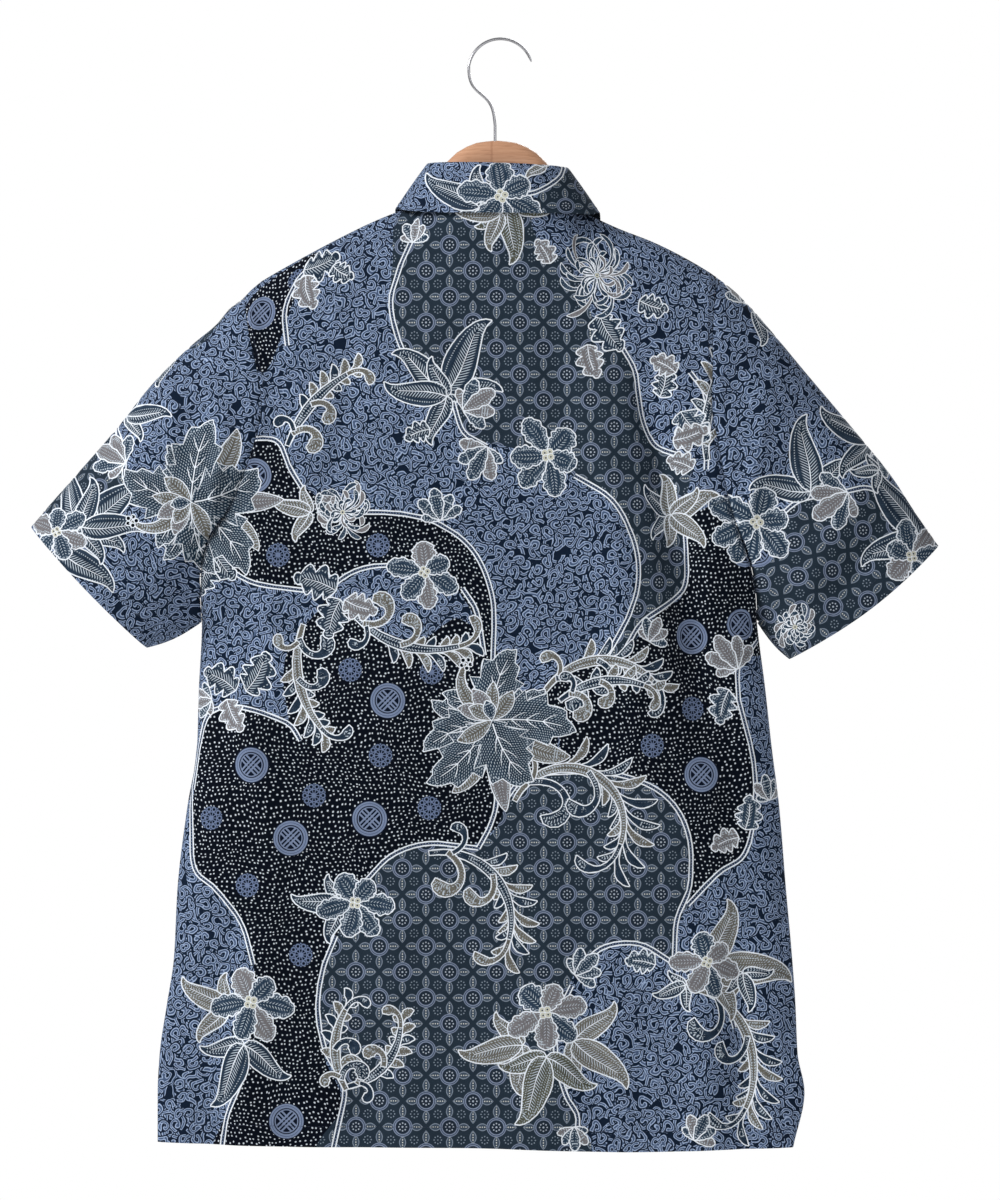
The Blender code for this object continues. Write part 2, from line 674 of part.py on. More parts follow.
def make_wood(material):
    """A flat arch with rounded edges, its ends rounded off."""
    places = np.linspace(-1.0, 1.0, WOOD_STATIONS)
    points = []
    for place in places:
        taper = math.sqrt(max(0.0, 1.0 - abs(place) ** 18))
        height = WOOD_MIDDLE_HEIGHT + (WOOD_END_HEIGHT - WOOD_MIDDLE_HEIGHT) * smooth(1.1 * abs(place))
        x = WOOD_HALF_LENGTH * place
        top = wood_top(x) - 0.3 * height * (1.0 - taper)
        low = wood_top(x) - height * (0.65 + 0.35 * taper)
        half = WOOD_THICKNESS / 2 * (0.4 + 0.6 * taper)
        size = top - low
        near = [(0.0, top), (0.6 * half, top - min(2.6, 0.2 * size)), (half, top - min(6.0, 0.42 * size))]
        near += [(half, low + min(4.0, 0.28 * size)), (0.7 * half, low + min(1.2, 0.1 * size)), (0.0, low)]
        far = [(-y, z) for y, z in near[-2:0:-1]]
        points += [(x, y, z) for y, z in near + far]
    around = len(near) + len(far)
    faces = []
    for station in range(WOOD_STATIONS - 1):
        low = station * around
        for corner in range(around):
            after = (corner + 1) % around
            faces.append((low + corner, low + after, low + around + after, low + around + corner))
    faces.append(tuple(range(around))[::-1])
    faces.append(tuple(range((WOOD_STATIONS - 1) * around, WOOD_STATIONS * around)))
    return new_object("hanger_wood", points, faces, material)


def bore_wood(wood):
    """The hole that the hook's stem is let into."""
    length = 2.0 * STEM_INTO_WOOD
    bpy.ops.mesh.primitive_cylinder_add(
        vertices=12,
        radius=(WIRE_RADIUS + SEAM) * MM,
        depth=length * MM,
        location=(STEM_X * MM, 0.0, WOOD_HUMP[0][1] * MM),
    )
    cutter = bpy.context.object
    cutter.name = "stem_hole_cutter"
    cutter.hide_render = True
    cutter.display_type = "WIRE"
    cut = wood.modifiers.new("stem_hole", "BOOLEAN")
    cut.operation = "DIFFERENCE"
    cut.object = cutter


def hook_path():
    """The wire's middle line: round the hook, back under it and down into the wood."""
    points = []
    for angle in np.linspace(HOOK_TIP_ANGLE, HOOK_TURN_ANGLE, 28):
        turn = math.radians(angle)
        x = HOOK_CENTRE_X + HOOK_RADIUS * math.cos(turn)
        points.append((x, HOOK_CENTRE_Z + HOOK_RADIUS * math.sin(turn)))
    start = np.array(points[-1])
    bend = np.array(STEM_BEND)
    end = np.array((STEM_X, STEM_STRAIGHT_FROM))
    for t in (0.2, 0.4, 0.6, 0.8, 1.0):
        points.append(tuple(start * (1 - t) ** 2 + bend * 2 * t * (1 - t) + end * t * t))
    points.append((STEM_X, WOOD_HUMP[0][1] - STEM_INTO_WOOD + SEAM))
    return points


def make_hook(material):
    curve = bpy.data.curves.new("hanger_hook", "CURVE")
    curve.dimensions = "3D"
    curve.bevel_depth = WIRE_RADIUS * MM
    curve.bevel_resolution = 2
    curve.use_fill_caps = True
    path = hook_path()
    spline = curve.splines.new("POLY")
    spline.points.add(len(path) - 1)
    for point, (x, z) in zip(spline.points, path):
        point.co = (x * MM, 0.0, z * MM, 1.0)
    curve.materials.append(material)
    hook = bpy.data.objects.new("hanger_hook", curve)
    bpy.context.collection.objects.link(hook)
    return hook


def button_mesh(material):
    """A dished disc turned about Y, with four thread holes."""
    profile = ((0.0, 0.55), (0.55, 0.55), (0.72, 1.0), (0.92, 1.0), (1.0, 0.55), (0.86, 0.0), (0.0, 0.0))
    around = 16
    points = [(0.0, BUTTON_THICKNESS * profile[0][1], 0.0)]
    for radius, height in profile[1:-1]:
        for step in range(around):
            turn = 2 * math.pi * step / around
            x = BUTTON_RADIUS * radius * math.cos(turn)
            z = BUTTON_RADIUS * radius * math.sin(turn)
            points.append((x, BUTTON_THICKNESS * height, z))
    points.append((0.0, 0.0, 0.0))
    faces = []
    for step in range(around):
        after = (step + 1) % around
        faces.append((0, 1 + after, 1 + step))
        for ring in range(len(profile) - 3):
            low = 1 + ring * around
            faces.append((low + step, low + after, low + around + after, low + around + step))
        low = 1 + (len(profile) - 3) * around
        faces.append((low + step, low + after, len(points) - 1))
    mesh = bpy.data.meshes.new("button")
    mesh.from_pydata([tuple(coordinate * MM for coordinate in point) for point in points], [], faces)
    mesh.materials.append(material)
    mesh.shade_smooth()
    mesh.set_sharp_from_angle(angle=math.radians(40.0))
    return mesh


def place_button(name, mesh, x, y, z):
    button = bpy.data.objects.new(name, mesh)
    button.location = (x * MM, (y + SEAM) * MM, z * MM)
    bpy.context.collection.objects.link(button)
    return button


def button_cutters():
    """Four pins that cut the thread holes, as one mesh shared by all the buttons."""
    pins = []
    for across in (-1, 1):
        for up in (-1, 1):
            pins.append((across * BUTTON_HOLE_OFFSET, up * BUTTON_HOLE_OFFSET))
    points = []
    faces = []
    around = 6
    for x, z in pins:
        first = len(points)
        for y in (-1.0, BUTTON_THICKNESS + 1.0):
            for step in range(around):
                turn = 2 * math.pi * step / around
                radius = BUTTON_HOLE_RADIUS
                points.append((x + radius * math.cos(turn), y, z + radius * math.sin(turn)))
        for step in range(around):
            after = (step + 1) % around
            faces.append((first + step, first + around + step, first + around + after, first + after))
        faces.append(tuple(first + step for step in range(around)))
        faces.append(tuple(first + around + step for step in range(around))[::-1])
    mesh = bpy.data.meshes.new("button_pins")
    mesh.from_pydata([tuple(coordinate * MM for coordinate in point) for point in points], [], faces)
    return mesh


def pierce(button, pins):
    cutter = bpy.data.objects.new(button.name + "_pins", pins)
    cutter.location = button.location
    cutter.hide_render = True
    cutter.display_type = "WIRE"
    bpy.context.collection.objects.link(cutter)
    cut = button.modifiers.new("thread_holes", "BOOLEAN")
    cut.operation = "DIFFERENCE"
    cut.object = cutter


NECK_OFFSETS = {side: neck_offsets(side) for side in (-1, 1)}

for leftover in list(bpy.data.objects):
    bpy.data.objects.remove(leftover)

back = back_grid()
front_left = front_grid(-1)
front_right = front_grid(1)
sleeve_left = sleeve_grid(back, front_left, -1)
sleeve_right = sleeve_grid(back, front_right, 1)

cloths = {}
for name, grid, closed, wall, turned in (
    ("back_panel", back, False, CLOTH, False),
    ("front_left", front_left, False, CLOTH, True),
    ("front_right", front_right, False, CLOTH, False),
    ("sleeve_left", sleeve_left, True, CLOTH, False),
    ("sleeve_right", sleeve_right, True, CLOTH, True),
    ("collar_stand", stand_grid(), False, COLLAR_CLOTH, False),
    ("collar_fall", fall_grid(), False, COLLAR_CLOTH, False),
):
    ordered = grid[:, ::-1].copy() if turned else grid
    ordered = ordered[::-1].copy()
    cloths[name] = [ordered, closed, normals_of(ordered, closed), wall]
share_normals(cloths)

print_cloth = {
    "back_panel": (0.075, 0.095, 0.135),
    "front_left": (0.085, 0.105, 0.145),
    "front_right": (0.070, 0.090, 0.130),
    "sleeve_left": (0.090, 0.110, 0.155),
    "sleeve_right": (0.090, 0.110, 0.155),
    "collar_stand": (0.080, 0.100, 0.140),
    "collar_fall": (0.080, 0.100, 0.140),
}
for name, cloth in cloths.items():
    cloth_object(name, cloth, new_material(name, print_cloth[name], 0.85, 0.0))

wood = make_wood(new_material("wood", (0.56, 0.30, 0.17), 0.45, 0.0))
bore_wood(wood)
make_hook(new_material("steel_wire", (0.62, 0.62, 0.62), 0.28, 1.0))

shell = button_mesh(new_material("button_resin", (0.16, 0.18, 0.22), 0.35, 0.0))
pins = button_cutters()
for index in range(FRONT_BUTTONS):
    height = FIRST_BUTTON - BUTTON_STEP * index
    edge = [FRONT_MIDDLE + BUTTON_RADIUS * side for side in (-1, 0, 1)]
    surface = max(depth(x, height + BUTTON_RADIUS * up, 1) for x in edge for up in (-1, 0, 1))
    pierce(place_button(f"button_front_{index + 1}", shell, FRONT_MIDDLE, surface, height), pins)
front_stand = stand_point(-180.0, 0.5)
surface = front_stand[1] + STAND_BUTTON_CLEARANCE
pierce(place_button("button_stand", shell, FRONT_MIDDLE, surface, front_stand[2]), pins)
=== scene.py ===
import math

import bpy
import numpy as np
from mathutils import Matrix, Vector
from mathutils.bvhtree import BVHTree
from mathutils.geometry import delaunay_2d_cdt


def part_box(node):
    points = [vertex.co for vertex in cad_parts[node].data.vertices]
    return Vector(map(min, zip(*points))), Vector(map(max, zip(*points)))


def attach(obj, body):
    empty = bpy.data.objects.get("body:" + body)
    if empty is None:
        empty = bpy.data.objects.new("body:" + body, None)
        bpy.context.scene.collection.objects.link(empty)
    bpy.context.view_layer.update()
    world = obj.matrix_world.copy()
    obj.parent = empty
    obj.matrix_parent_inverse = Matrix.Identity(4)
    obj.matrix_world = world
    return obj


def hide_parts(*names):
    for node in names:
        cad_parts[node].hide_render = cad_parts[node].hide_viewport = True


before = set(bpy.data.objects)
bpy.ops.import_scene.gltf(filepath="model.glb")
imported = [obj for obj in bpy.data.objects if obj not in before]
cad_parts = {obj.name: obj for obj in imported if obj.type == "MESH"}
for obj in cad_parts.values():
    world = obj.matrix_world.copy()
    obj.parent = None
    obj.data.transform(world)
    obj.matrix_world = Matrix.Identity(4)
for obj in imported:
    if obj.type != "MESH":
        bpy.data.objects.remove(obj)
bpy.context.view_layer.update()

MM = 0.001

# ---- The shirt's form ----
# A man's short-sleeved shirt of thin printed cotton, hung from its shoulder line. Sizes are in
# millimetres. The sides, the depth and the hem are tables down or across the shirt, the panels
# leave the shoulder line and hang, and the neck seam is an oval that drops at the front.

SEAM = 0.3
ARMHOLE_SEAM = 0.4
ARMPIT = -480.0
NECK_MIDDLE = 1.0
NECK_HALF_WIDTH = 65.0
NECK_HALF_DEPTH = 38.0
NECK_HEIGHT = -135.7
NECK_DROP = 74.0
NECK_REACH = 38.0
FRONT_LAP = 17.0
FRONTS_APART = 1.7
CLOTH = 0.7
COLLAR_CLOTH = 1.7
# A panel leaves the shoulder line sharply by this share, then softly.
SHARP_LEAVE = 0.25
SHARP_LEAVE_WITHIN = 4.0
SOFT_LEAVE_WITHIN = 60.0

# Columns: z, left, right, edge, back, front, scoop.
BODY_LEVELS = (
    (-190, -210, 181.6, 36, 34, 42, 0),
    (-240, -203.9, 177.4, 37, 35, 44, 5),
    (-265, -198, 177.2, 38, 36, 45, 9),
    (-303, -192.4, 176.3, 38, 37, 46, 15),
    (-332, -198, 181.3, 38, 38, 46, 18),
    (-362, -208.6, 186.3, 37.5, 38, 46, 18),
    (-387, -219.2, 191.9, 36, 39, 46, 15),
    (-414, -236.5, 201.5, 32, 39, 46, 9),
    (-437, -242.5, 209.5, 26.5, 40, 46, 4),
    (-460, -243.4, 213.4, 17, 40, 46, 1),
    (-473, -243.3, 214.4, 8, 40, 46, 0),
    (-480, -243.3, 215, 0, 40, 46, 0),
    (-535, -245.9, 222, 0, 40, 46, 0),
    (-583, -247.4, 227.3, 0, 39, 45, 0),
    (-633, -255.5, 233.6, 0, 37, 43, 0),
    (-700, -263.6, 239.1, 0, 34, 39, 0),
    (-757, -266.5, 244.2, 0, 31, 35, 0),
    (-797, -272.5, 247, 0.8, 29, 32, 0),
    (-836, -278, 248.5, 4, 27, 30, 0),
    (-867, -279.4, 254, 8, 25, 29, 0),
    (-912, -279.2, 244.5, 11, 24, 28, 0),
)
LEFT, RIGHT, EDGE, BACK_DEPTH, FRONT_DEPTH, SCOOP = range(1, 7)

# Columns: distance from the middle, height on the left, height on the right.
SHOULDER_LINE = (
    (0, -113, -113),
    (32, -120, -121.5),
    (64, -134, -137.5),
    (100, -148.5, -154.6),
    (130, -163, -166.4),
    (160, -179, -181.6),
    (181, -190.8, -194.7),
    (197, -200.6, -208),
    (210, -213.4, -221),
)
SHOULDER_ENDS = {-1: -209.5, 1: 181.6}

# Columns: x, height of the back's hem, how much lower the front hangs.
HEM_LINE = (
    (-279.2, -908, 1),
    (-140, -911.5, 1.5),
    (-20, -912, 1.2),
    (60, -914.5, 3.6),
    (110, -915.5, 2.6),
    (180, -914, 1),
    (244.5, -912.5, 1),
)

# Columns: x and z of the fold's upper end, x and z of its lower end, half width, height. The
# long rows are the large folds, the short ones the creases of worn cotton.
BACK_FOLDS = (
    (119, -256, 170, -610, 14, -15),
    (94, -280, 114, -640, 16, 5.4),
    (-184, -250, -186, -350, 9, -6.5),
    (-224, -430, -226, -600, 13, -6.5),
    (-196, -420, -188, -640, 18, 4.4),
    (-60, -330, -72, -700, 38, 3.3),
    (190, -520, 204, -720, 12, -4.2),
    (204, -700, 206, -960, 11, -7.8),
    (172, -690, 176, -960, 16, 5.2),
    (-226, -700, -236, -960, 14, -5.9),
    (-196, -690, -204, -960, 18, 4.7),
    (-104, -760, -112, -960, 26, -4.4),
    (40, -760, 44, -960, 30, 3.9),
    (201, -836, 206, -882, 2.4, -2.7),
    (207, -800, 204, -860, 4, -2.1),
    (-168, -262, -178, -330, 4.5, -2.7),
    (152, -330, 160, -430, 5, -2.4),
    (-30, -560, -52, -680, 7, 1.2),
    (64, -590, 82, -720, 8, -1.4),
    (-150, -560, -138, -690, 8, -1.4),
    (-10, -820, -14, -925, 9, 1.7),
    (110, -800, 118, -925, 10, -1.8),
    (-172, -800, -176, -925, 8, -1.5),
    (112, -258, 147, -480, 4.6, -5.4),
    (-184, -200, -196, -330, 5, -4.2),
    (-118, -215, -134, -380, 7, -3.2),
    (-40, -190, -58, -330, 12, 2.4),
    (40, -180, 62, -330, 10, -2.4),
    (-214, -430, -186, -560, 7, -4),
    (178, -440, 204, -620, 7, -4.2),
    (150, -640, 186, -760, 9, -3),
    (-216, -560, -168, -700, 10, 3),
    (8, -420, 30, -640, 14, -2.6),
    (-70, -690, -92, -860, 12, 3),
    (70, -720, 88, -925, 12, -3.2),
)
FRONT_FOLDS = (
    (-122, -270, -150, -580, 13, -8.5),
    (-150, -280, -176, -600, 16, 5.9),
    (96, -280, 122, -600, 13, -7.8),
    (128, -290, 150, -610, 17, 5.9),
    (60, -330, 72, -660, 24, 3.9),
    (-70, -340, -84, -660, 24, 3.9),
    (-206, -460, -214, -640, 12, -5.9),
    (186, -460, 194, -640, 12, -5.9),
    (-196, -700, -206, -970, 15, -6.5),
    (-92, -720, -96, -970, 24, 5.9),
    (98, -700, 102, -970, 20, -5.9),
    (170, -700, 178, -970, 18, 5.2),
    (-150, -620, -160, -740, 8, -1.8),
    (140, -600, 148, -710, 8, 1.7),
    (60, -690, 64, -800, 9, -1.5),
    (-60, -560, -66, -650, 9, 1.5),
    (-146, -262, -118, -430, 5, -4.4),
    (150, -262, 122, -430, 5, -4.4),
    (64, -300, 88, -470, 9, 2.6),
    (-90, -560, -112, -760, 11, -3),
    (112, -560, 128, -780, 11, 3),
)


def read(rows, column, at):
    """A column of a table at places between its rows, on a smooth curve with no overshoot."""
    table = np.array(rows)
    if table[0, 0] > table[-1, 0]:
        table = table[::-1]
    places = table[:, 0]
    values = table[:, column]
    at = np.clip(at, places[0], places[-1])
    steps = np.diff(places)
    slopes = np.diff(values) / steps
    product = slopes[:-1] * slopes[1:]
    total = np.where(product > 0, slopes[:-1] + slopes[1:], 1.0)
    tangents = np.concatenate([slopes[:1], np.maximum(product, 0.0) * 2.0 / total, slopes[-1:]])
    index = np.clip(np.searchsorted(places, at, side="right") - 1, 0, len(steps) - 1)
    step = steps[index]
    t = (at - places[index]) / step
    rise = values[index + 1] - values[index]
    bend = (1 - t) * (tangents[index] * step - rise) - t * (tangents[index + 1] * step - rise)
    return values[index] + t * rise + t * (1 - t) * bend


def smooth(value):
    value = np.clip(value, 0.0, 1.0)
    return value * value * (3.0 - 2.0 * value)


def totals(steps, axis=0):
    """The running totals of steps along an axis, from 0."""
    nothing = np.zeros_like(np.take(steps, [0], axis))
    return np.concatenate([nothing, np.cumsum(steps, axis=axis)], axis=axis)


def unit(vectors, least=1e-12):
    """Vectors of length 1, except those shorter than the least, which stay short."""
    return vectors / np.maximum(np.linalg.norm(vectors, axis=-1, keepdims=True), least)


def neck(turn):
    """Points of the neck seam at turns in degrees: 0 at the back, 90 right, 180 in front."""
    angle = np.radians(turn)
    back = np.cos(angle)
    x = NECK_MIDDLE + NECK_HALF_WIDTH * np.sin(angle)
    y = -NECK_HALF_DEPTH * back + 6.0 * back**2
    z = NECK_HEIGHT - 1.8 * np.sin(angle) - NECK_DROP * np.maximum(0.0, -back) ** 1.6
    return np.stack([x, y, z], -1)


def ridge(x):
    """Height of the shoulder line, where the back and the front meet in the middle plane."""
    away = np.abs(x)
    return np.where(x < 0, read(SHOULDER_LINE, 1, away), read(SHOULDER_LINE, 2, away))


def top_line(x, side):
    """Depth and height of a panel's top edge: the neck seam, and the ridge beyond it."""
    across = (x - NECK_MIDDLE) / NECK_HALF_WIDTH
    turn = np.degrees(np.arcsin(np.clip(across, -1.0, 1.0)))
    points = neck(turn if side < 0 else 180.0 - turn)
    inside = np.abs(across) < 1.0
    return np.where(inside, points[..., 1], 0.0), np.where(inside, points[..., 2], ridge(x))


def side_edges(z, side):
    """The two side edges of a panel at a level. The front armhole is cut further in."""
    scoop = read(BODY_LEVELS, SCOOP, z) if side > 0 else 0.0
    return read(BODY_LEVELS, LEFT, z) + scoop, read(BODY_LEVELS, RIGHT, z) - scoop


def hung_depth(x, z, side):
    """Depth of a panel that leaves the shoulder line and hangs, before the neck shapes it."""
    low, high = side_edges(z, side)
    place = np.clip(2.0 * (x - low) / (high - low) - 1.0, -1.0, 1.0)
    profile = (1.0 - np.abs(place) ** 2.5) ** 0.4
    edge = read(BODY_LEVELS, EDGE, z) * (1.0 if side < 0 else 1.15)
    middle = read(BODY_LEVELS, BACK_DEPTH if side < 0 else FRONT_DEPTH, z)
    below = np.maximum(0.0, ridge(x) - z)
    leave = SHARP_LEAVE * (1.0 - np.exp(-below / SHARP_LEAVE_WITHIN))
    leave += (1.0 - SHARP_LEAVE) * (1.0 - np.exp(-below / SOFT_LEAVE_WITHIN))
    folds = 0.0
    for x_top, z_top, x_low, z_low, half_width, height in BACK_FOLDS if side < 0 else FRONT_FOLDS:
        t = np.clip((z_top - z) / (z_top - z_low), 0.0, 1.0)
        wander = half_width * 0.5 * np.sin(3.0 * t + 0.05 * x_top)
        off = (x - x_top - (x_low - x_top) * t - wander) / half_width
        folds = folds + height * np.maximum(np.sin(math.pi * t), 0.0) ** 0.8 * np.exp(-(off**2))
    fade = (1.0 - np.abs(place) ** 8) * smooth(below / SOFT_LEAVE_WITHIN)
    return side * (leave * (edge + (middle - edge) * profile) + fade * folds)


def depth(x, z, side):
    """Y of the outer face of the back (side -1) or of the front (side 1)."""
    turns = np.linspace(-90.0, 90.0, 37) + (0.0 if side < 0 else 180.0)
    seam = neck(turns)
    offsets = seam[:, 1] - hung_depth(seam[:, 0], seam[:, 2], side)
    starts = seam[:-1, ::2]
    runs = seam[1:, ::2] - starts
    x, z = np.broadcast_arrays(x, z)
    points = np.stack([x, z], -1)[..., None, :]
    share = ((points - starts) * runs).sum(-1) / np.maximum((runs**2).sum(-1), 1e-9)
    share = np.clip(share, 0.0, 1.0)
    away = np.linalg.norm(points - starts - runs * share[..., None], axis=-1)
    near = away.argmin(-1)[..., None]
    nearest = np.take_along_axis(away, near, -1)[..., 0]
    part = np.take_along_axis(share, near, -1)[..., 0]
    offset = offsets[near[..., 0]] + (offsets[near[..., 0] + 1] - offsets[near[..., 0]]) * part
    drawn = offset * np.exp(-((nearest / NECK_REACH) ** 2))
    return hung_depth(x, z, side) + drawn + side * SEAM / 2


def hem(x, side):
    return read(HEM_LINE, 1, x) - (read(HEM_LINE, 2, x) if side > 0 else 0.0)


ARMHOLE_SHARES = np.interp(
    np.linspace(0.0, 13.0, 46),
    range(14),
    (0.0, 0.012, 0.035, 0.075, 0.15, 0.25, 0.36, 0.48, 0.6, 0.72, 0.83, 0.92, 0.98, 1.0),
)


def edge_heights(turn_side, side):
    """Heights of the rows down one side edge: closer together by the shoulder and the armpit."""
    start = top_line(np.array(SHOULDER_ENDS[turn_side]), side)[1]
    end = hem(HEM_LINE[0 if turn_side < 0 else -1][0], side)
    below = ARMPIT + (end - ARMPIT) * np.arange(1, 71) / 70
    return np.concatenate([start + (ARMPIT - start) * ARMHOLE_SHARES, below])


def shoulder_places(turn_side):
    inner = NECK_MIDDLE + turn_side * NECK_HALF_WIDTH
    return np.linspace(inner, SHOULDER_ENDS[turn_side], 20)


def spread(count):
    turn = np.linspace(-1.0, 1.0, count)
    return 0.5 + 0.25 * (turn + np.sin(turn * math.pi / 2))


def closer(rows, low=True, high=True):
    """The rows of a table with four more between the last two at either end."""
    steps = np.arange(len(rows), dtype=float)
    if low:
        steps = np.concatenate([[0.0, 0.15, 0.35, 0.6, 0.8], steps[1:]])
    if high:
        steps = np.concatenate([steps[:-1], len(rows) - 1 - np.array([0.8, 0.6, 0.35, 0.15, 0.0])])
    return np.interp(steps, np.arange(len(rows)), rows)


def seam_roll(net, share=1.0):
    """How far cloth is drawn in along the seam that runs down a net's first column."""
    away = totals(np.linalg.norm(np.diff(net, axis=1), axis=2), 1)
    return share * (1.3 * np.exp(-((away / 2.2) ** 2)) - 0.9 * np.exp(-(((away - 7.0) / 4.0) ** 2)))


def panel(tops, lower, low_z, low_x, high_z, high_x, side, under=0.0):
    """A net of points of a body panel. tops are the columns' places on the top line, lower their
    shares of the width below it."""
    first = (tops - tops[0]) / (tops[-1] - tops[0])
    top_y, top_z = top_line(tops, side)
    hem_z = hem(low_x(low_z[-1]) + (high_x(high_z[-1]) - low_x(low_z[-1])) * lower, side)
    gone = 1.0 - np.exp((low_z - low_z[0]) / SOFT_LEAVE_WITHIN)
    share = first + (lower - first) * gone[:, None]
    down_low = ((low_z[0] - low_z) / (low_z[0] - low_z[-1]))[:, None]
    down_high = ((high_z[0] - high_z) / (high_z[0] - high_z[-1]))[:, None]
    z = top_z + (hem_z - top_z) * (down_low + (down_high - down_low) * share)
    x = low_x(z) + (high_x(z) - low_x(z)) * share
    x[0] = tops
    y = depth(x, z, side)
    y[0] = top_y + side * SEAM / 2
    if under:
        y -= under * smooth((54.4 - x) / 34.0)
    return np.stack([x, y, z], -1)


def back_net():
    turns = np.linspace(-90.0, 90.0, 31)[1:-1]
    tops = np.concatenate([shoulder_places(-1)[::-1], neck(turns)[:, 0], shoulder_places(1)])
    low = edge_heights(-1, -1)
    high = edge_heights(1, -1)
    edges = [lambda z, which=which: side_edges(z, -1)[which] for which in (0, 1)]
    net = panel(closer(tops), closer(spread(len(tops))), low, edges[0], high, edges[1], -1)
    fade = smooth((net[..., 2] - ARMPIT) / 40.0 + 0.5)
    net[..., 1] += (seam_roll(net) + seam_roll(net[:, ::-1])[:, ::-1]) * fade
    return net


def front_turns(turn_side):
    """Turns along one front's neck edge, from the shoulder to its edge past the middle."""
    reach = (-turn_side * FRONT_LAP - NECK_MIDDLE) / NECK_HALF_WIDTH
    return np.linspace(90.0, 180.0 - math.degrees(math.asin(reach)) * turn_side, 22)


def front_net(turn_side):
    """The front on one side, from its side seam to its edge past the middle."""
    end = -turn_side * FRONT_LAP
    inner = neck(turn_side * front_turns(turn_side)[1:])[:, 0]
    tops = np.concatenate([shoulder_places(turn_side)[::-1], inner])
    seam_z = edge_heights(turn_side, 1)
    opening_top = top_line(np.array(end), 1)[1]
    down = (seam_z - seam_z[0]) / (seam_z[-1] - seam_z[0])
    opening_z = opening_top + (hem(end, 1) - opening_top) * down
    side_x = lambda z: side_edges(z, 1)[0 if turn_side < 0 else 1]
    whole = spread(2 * len(tops) - 1)[: len(tops)] * 2.0
    under = FRONTS_APART if turn_side > 0 else 0.0
    tops, whole = closer(tops, high=False), closer(whole, high=False)
    net = panel(tops, whole, seam_z, side_x, opening_z, lambda z: end + 0.0 * z, 1, under)
    net[..., 1] -= seam_roll(net) * smooth((net[..., 2] - ARMPIT) / 40.0 + 0.5)
    return net


def net_faces(rows, columns):
    """Triangles of a net of points, as rows of three indices."""
    first = (np.arange(rows - 1)[:, None] * columns + np.arange(columns - 1)).reshape(-1)
    one = np.stack([first, first + 1, first + 1 + columns], 1)
    two = np.stack([first, first + 1 + columns, first + columns], 1)
    return np.concatenate([one, two])


def net_normals(net, outward):
    """Unit normals of a net, pointing to the side that outward, a function of the points, gives."""
    points = net.reshape(-1, 3)
    faces = net_faces(*net.shape[:2])
    corners = points[faces]
    crosses = np.cross(corners[:, 1] - corners[:, 0], corners[:, 2] - corners[:, 0])
    normals = np.zeros_like(points)
    for corner in range(3):
        np.add.at(normals, faces[:, corner], crosses)
    normals = unit(normals)
    if (normals * outward(points)).sum() < 0:
        normals = -normals
    return normals.reshape(net.shape)


def unrolled(net, centre):
    """The net laid out flat: across by the length of cloth from a middle column, down by height."""
    across = totals(np.hypot(np.diff(net[..., 0], axis=1), np.diff(net[..., 1], axis=1)), 1)
    across += net[:, centre : centre + 1, 0] - across[:, centre : centre + 1]
    return np.stack([across, net[..., 2]], -1)


# ---- The print's drawing ----
# Hand-drawn batik of flowers, leaves and scrolls, each outlined in the white line that wax keeps.
# They lie over grounds of curls, ceplok rings and dots, which double stems part from each other.
# A figure is a paint, an outline, and the line with half widths that its veins and dots follow.


def smooth_line(points, closed=False, step=4.0):
    """A smooth line through points, at about even steps."""
    points = np.array(points, float)
    if closed:
        row = np.concatenate([points[-1:], points, points[:2]])
    else:
        ends = 2 * points[:1] - points[1:2], 2 * points[-1:] - points[-2:-1]
        row = np.concatenate([ends[0], points, ends[1]])
    line = []
    for a, b, c, d in zip(row[:-3], row[1:-2], row[2:-1], row[3:]):
        count = max(2, int(np.linalg.norm(c - b) / step))
        t = (np.arange(count) / count)[:, None]
        bend = 2 * a - 5 * b + 4 * c - d + t * (3 * (b - c) + d - a)
        line.append(b + 0.5 * t * (c - a + t * bend))
    if not closed:
        line.append(points[-1:])
    return np.concatenate(line)


def course(at, heading, length, bend, flick=0.0, count=13, wait=1.0):
    """A line that leaves a point at a heading in degrees and turns by bend, late where wait is
    over 1, and then by flick at its tip."""
    t = np.linspace(0.0, 1.0, count)
    angles = np.radians(heading + bend * t**wait + flick * t**4)
    steps = np.stack([np.cos(angles), np.sin(angles)], -1) * length / (count - 1)
    return np.array(at, float) + totals((steps[1:] + steps[:-1]) / 2)


def blade(line, widths, other=None):
    """The outline of a form that reaches so far to each side of a line."""
    run = unit(np.gradient(line, axis=0), 1e-9)
    off = np.stack([-run[:, 1], run[:, 0]], -1)
    other = widths if other is None else other
    return np.concatenate([line + off * widths[:, None], (line - off * other[:, None])[::-1]])


def anticlockwise(outline):
    turn = np.roll(outline, -1, axis=0)
    area = (outline[:, 0] * turn[:, 1] - outline[:, 1] * turn[:, 0]).sum()
    return outline if area > 0 else outline[::-1]


def swelled(outline, margin):
    """An outline moved outward."""
    outline = anticlockwise(outline)
    before = outline - np.roll(outline, 1, axis=0)
    after = np.roll(outline, -1, axis=0) - outline
    run = unit(unit(before, 1e-6) + unit(after, 1e-6), 0.3)
    return outline + np.stack([run[:, 1], -run[:, 0]], -1) * margin


def draw(figures, paint, line, widths, wax=1.05, other=None):
    """A figure about a line, on the wax line round it. other gives the far side's widths."""
    widths = np.maximum(widths, 0.12)
    other = widths if other is None else np.maximum(other, 0.12)
    outline = blade(line, widths, other)
    if wax:
        figures.append(("wax", swelled(outline, wax), None, None))
    figures.append((paint, outline, line, (widths + other) / 2))


def wax_line(figures, line, start, end):
    """A line that wax kept white, from one half width to another."""
    figures.append(("wax", blade(line, np.linspace(start, end, len(line))), None, None))


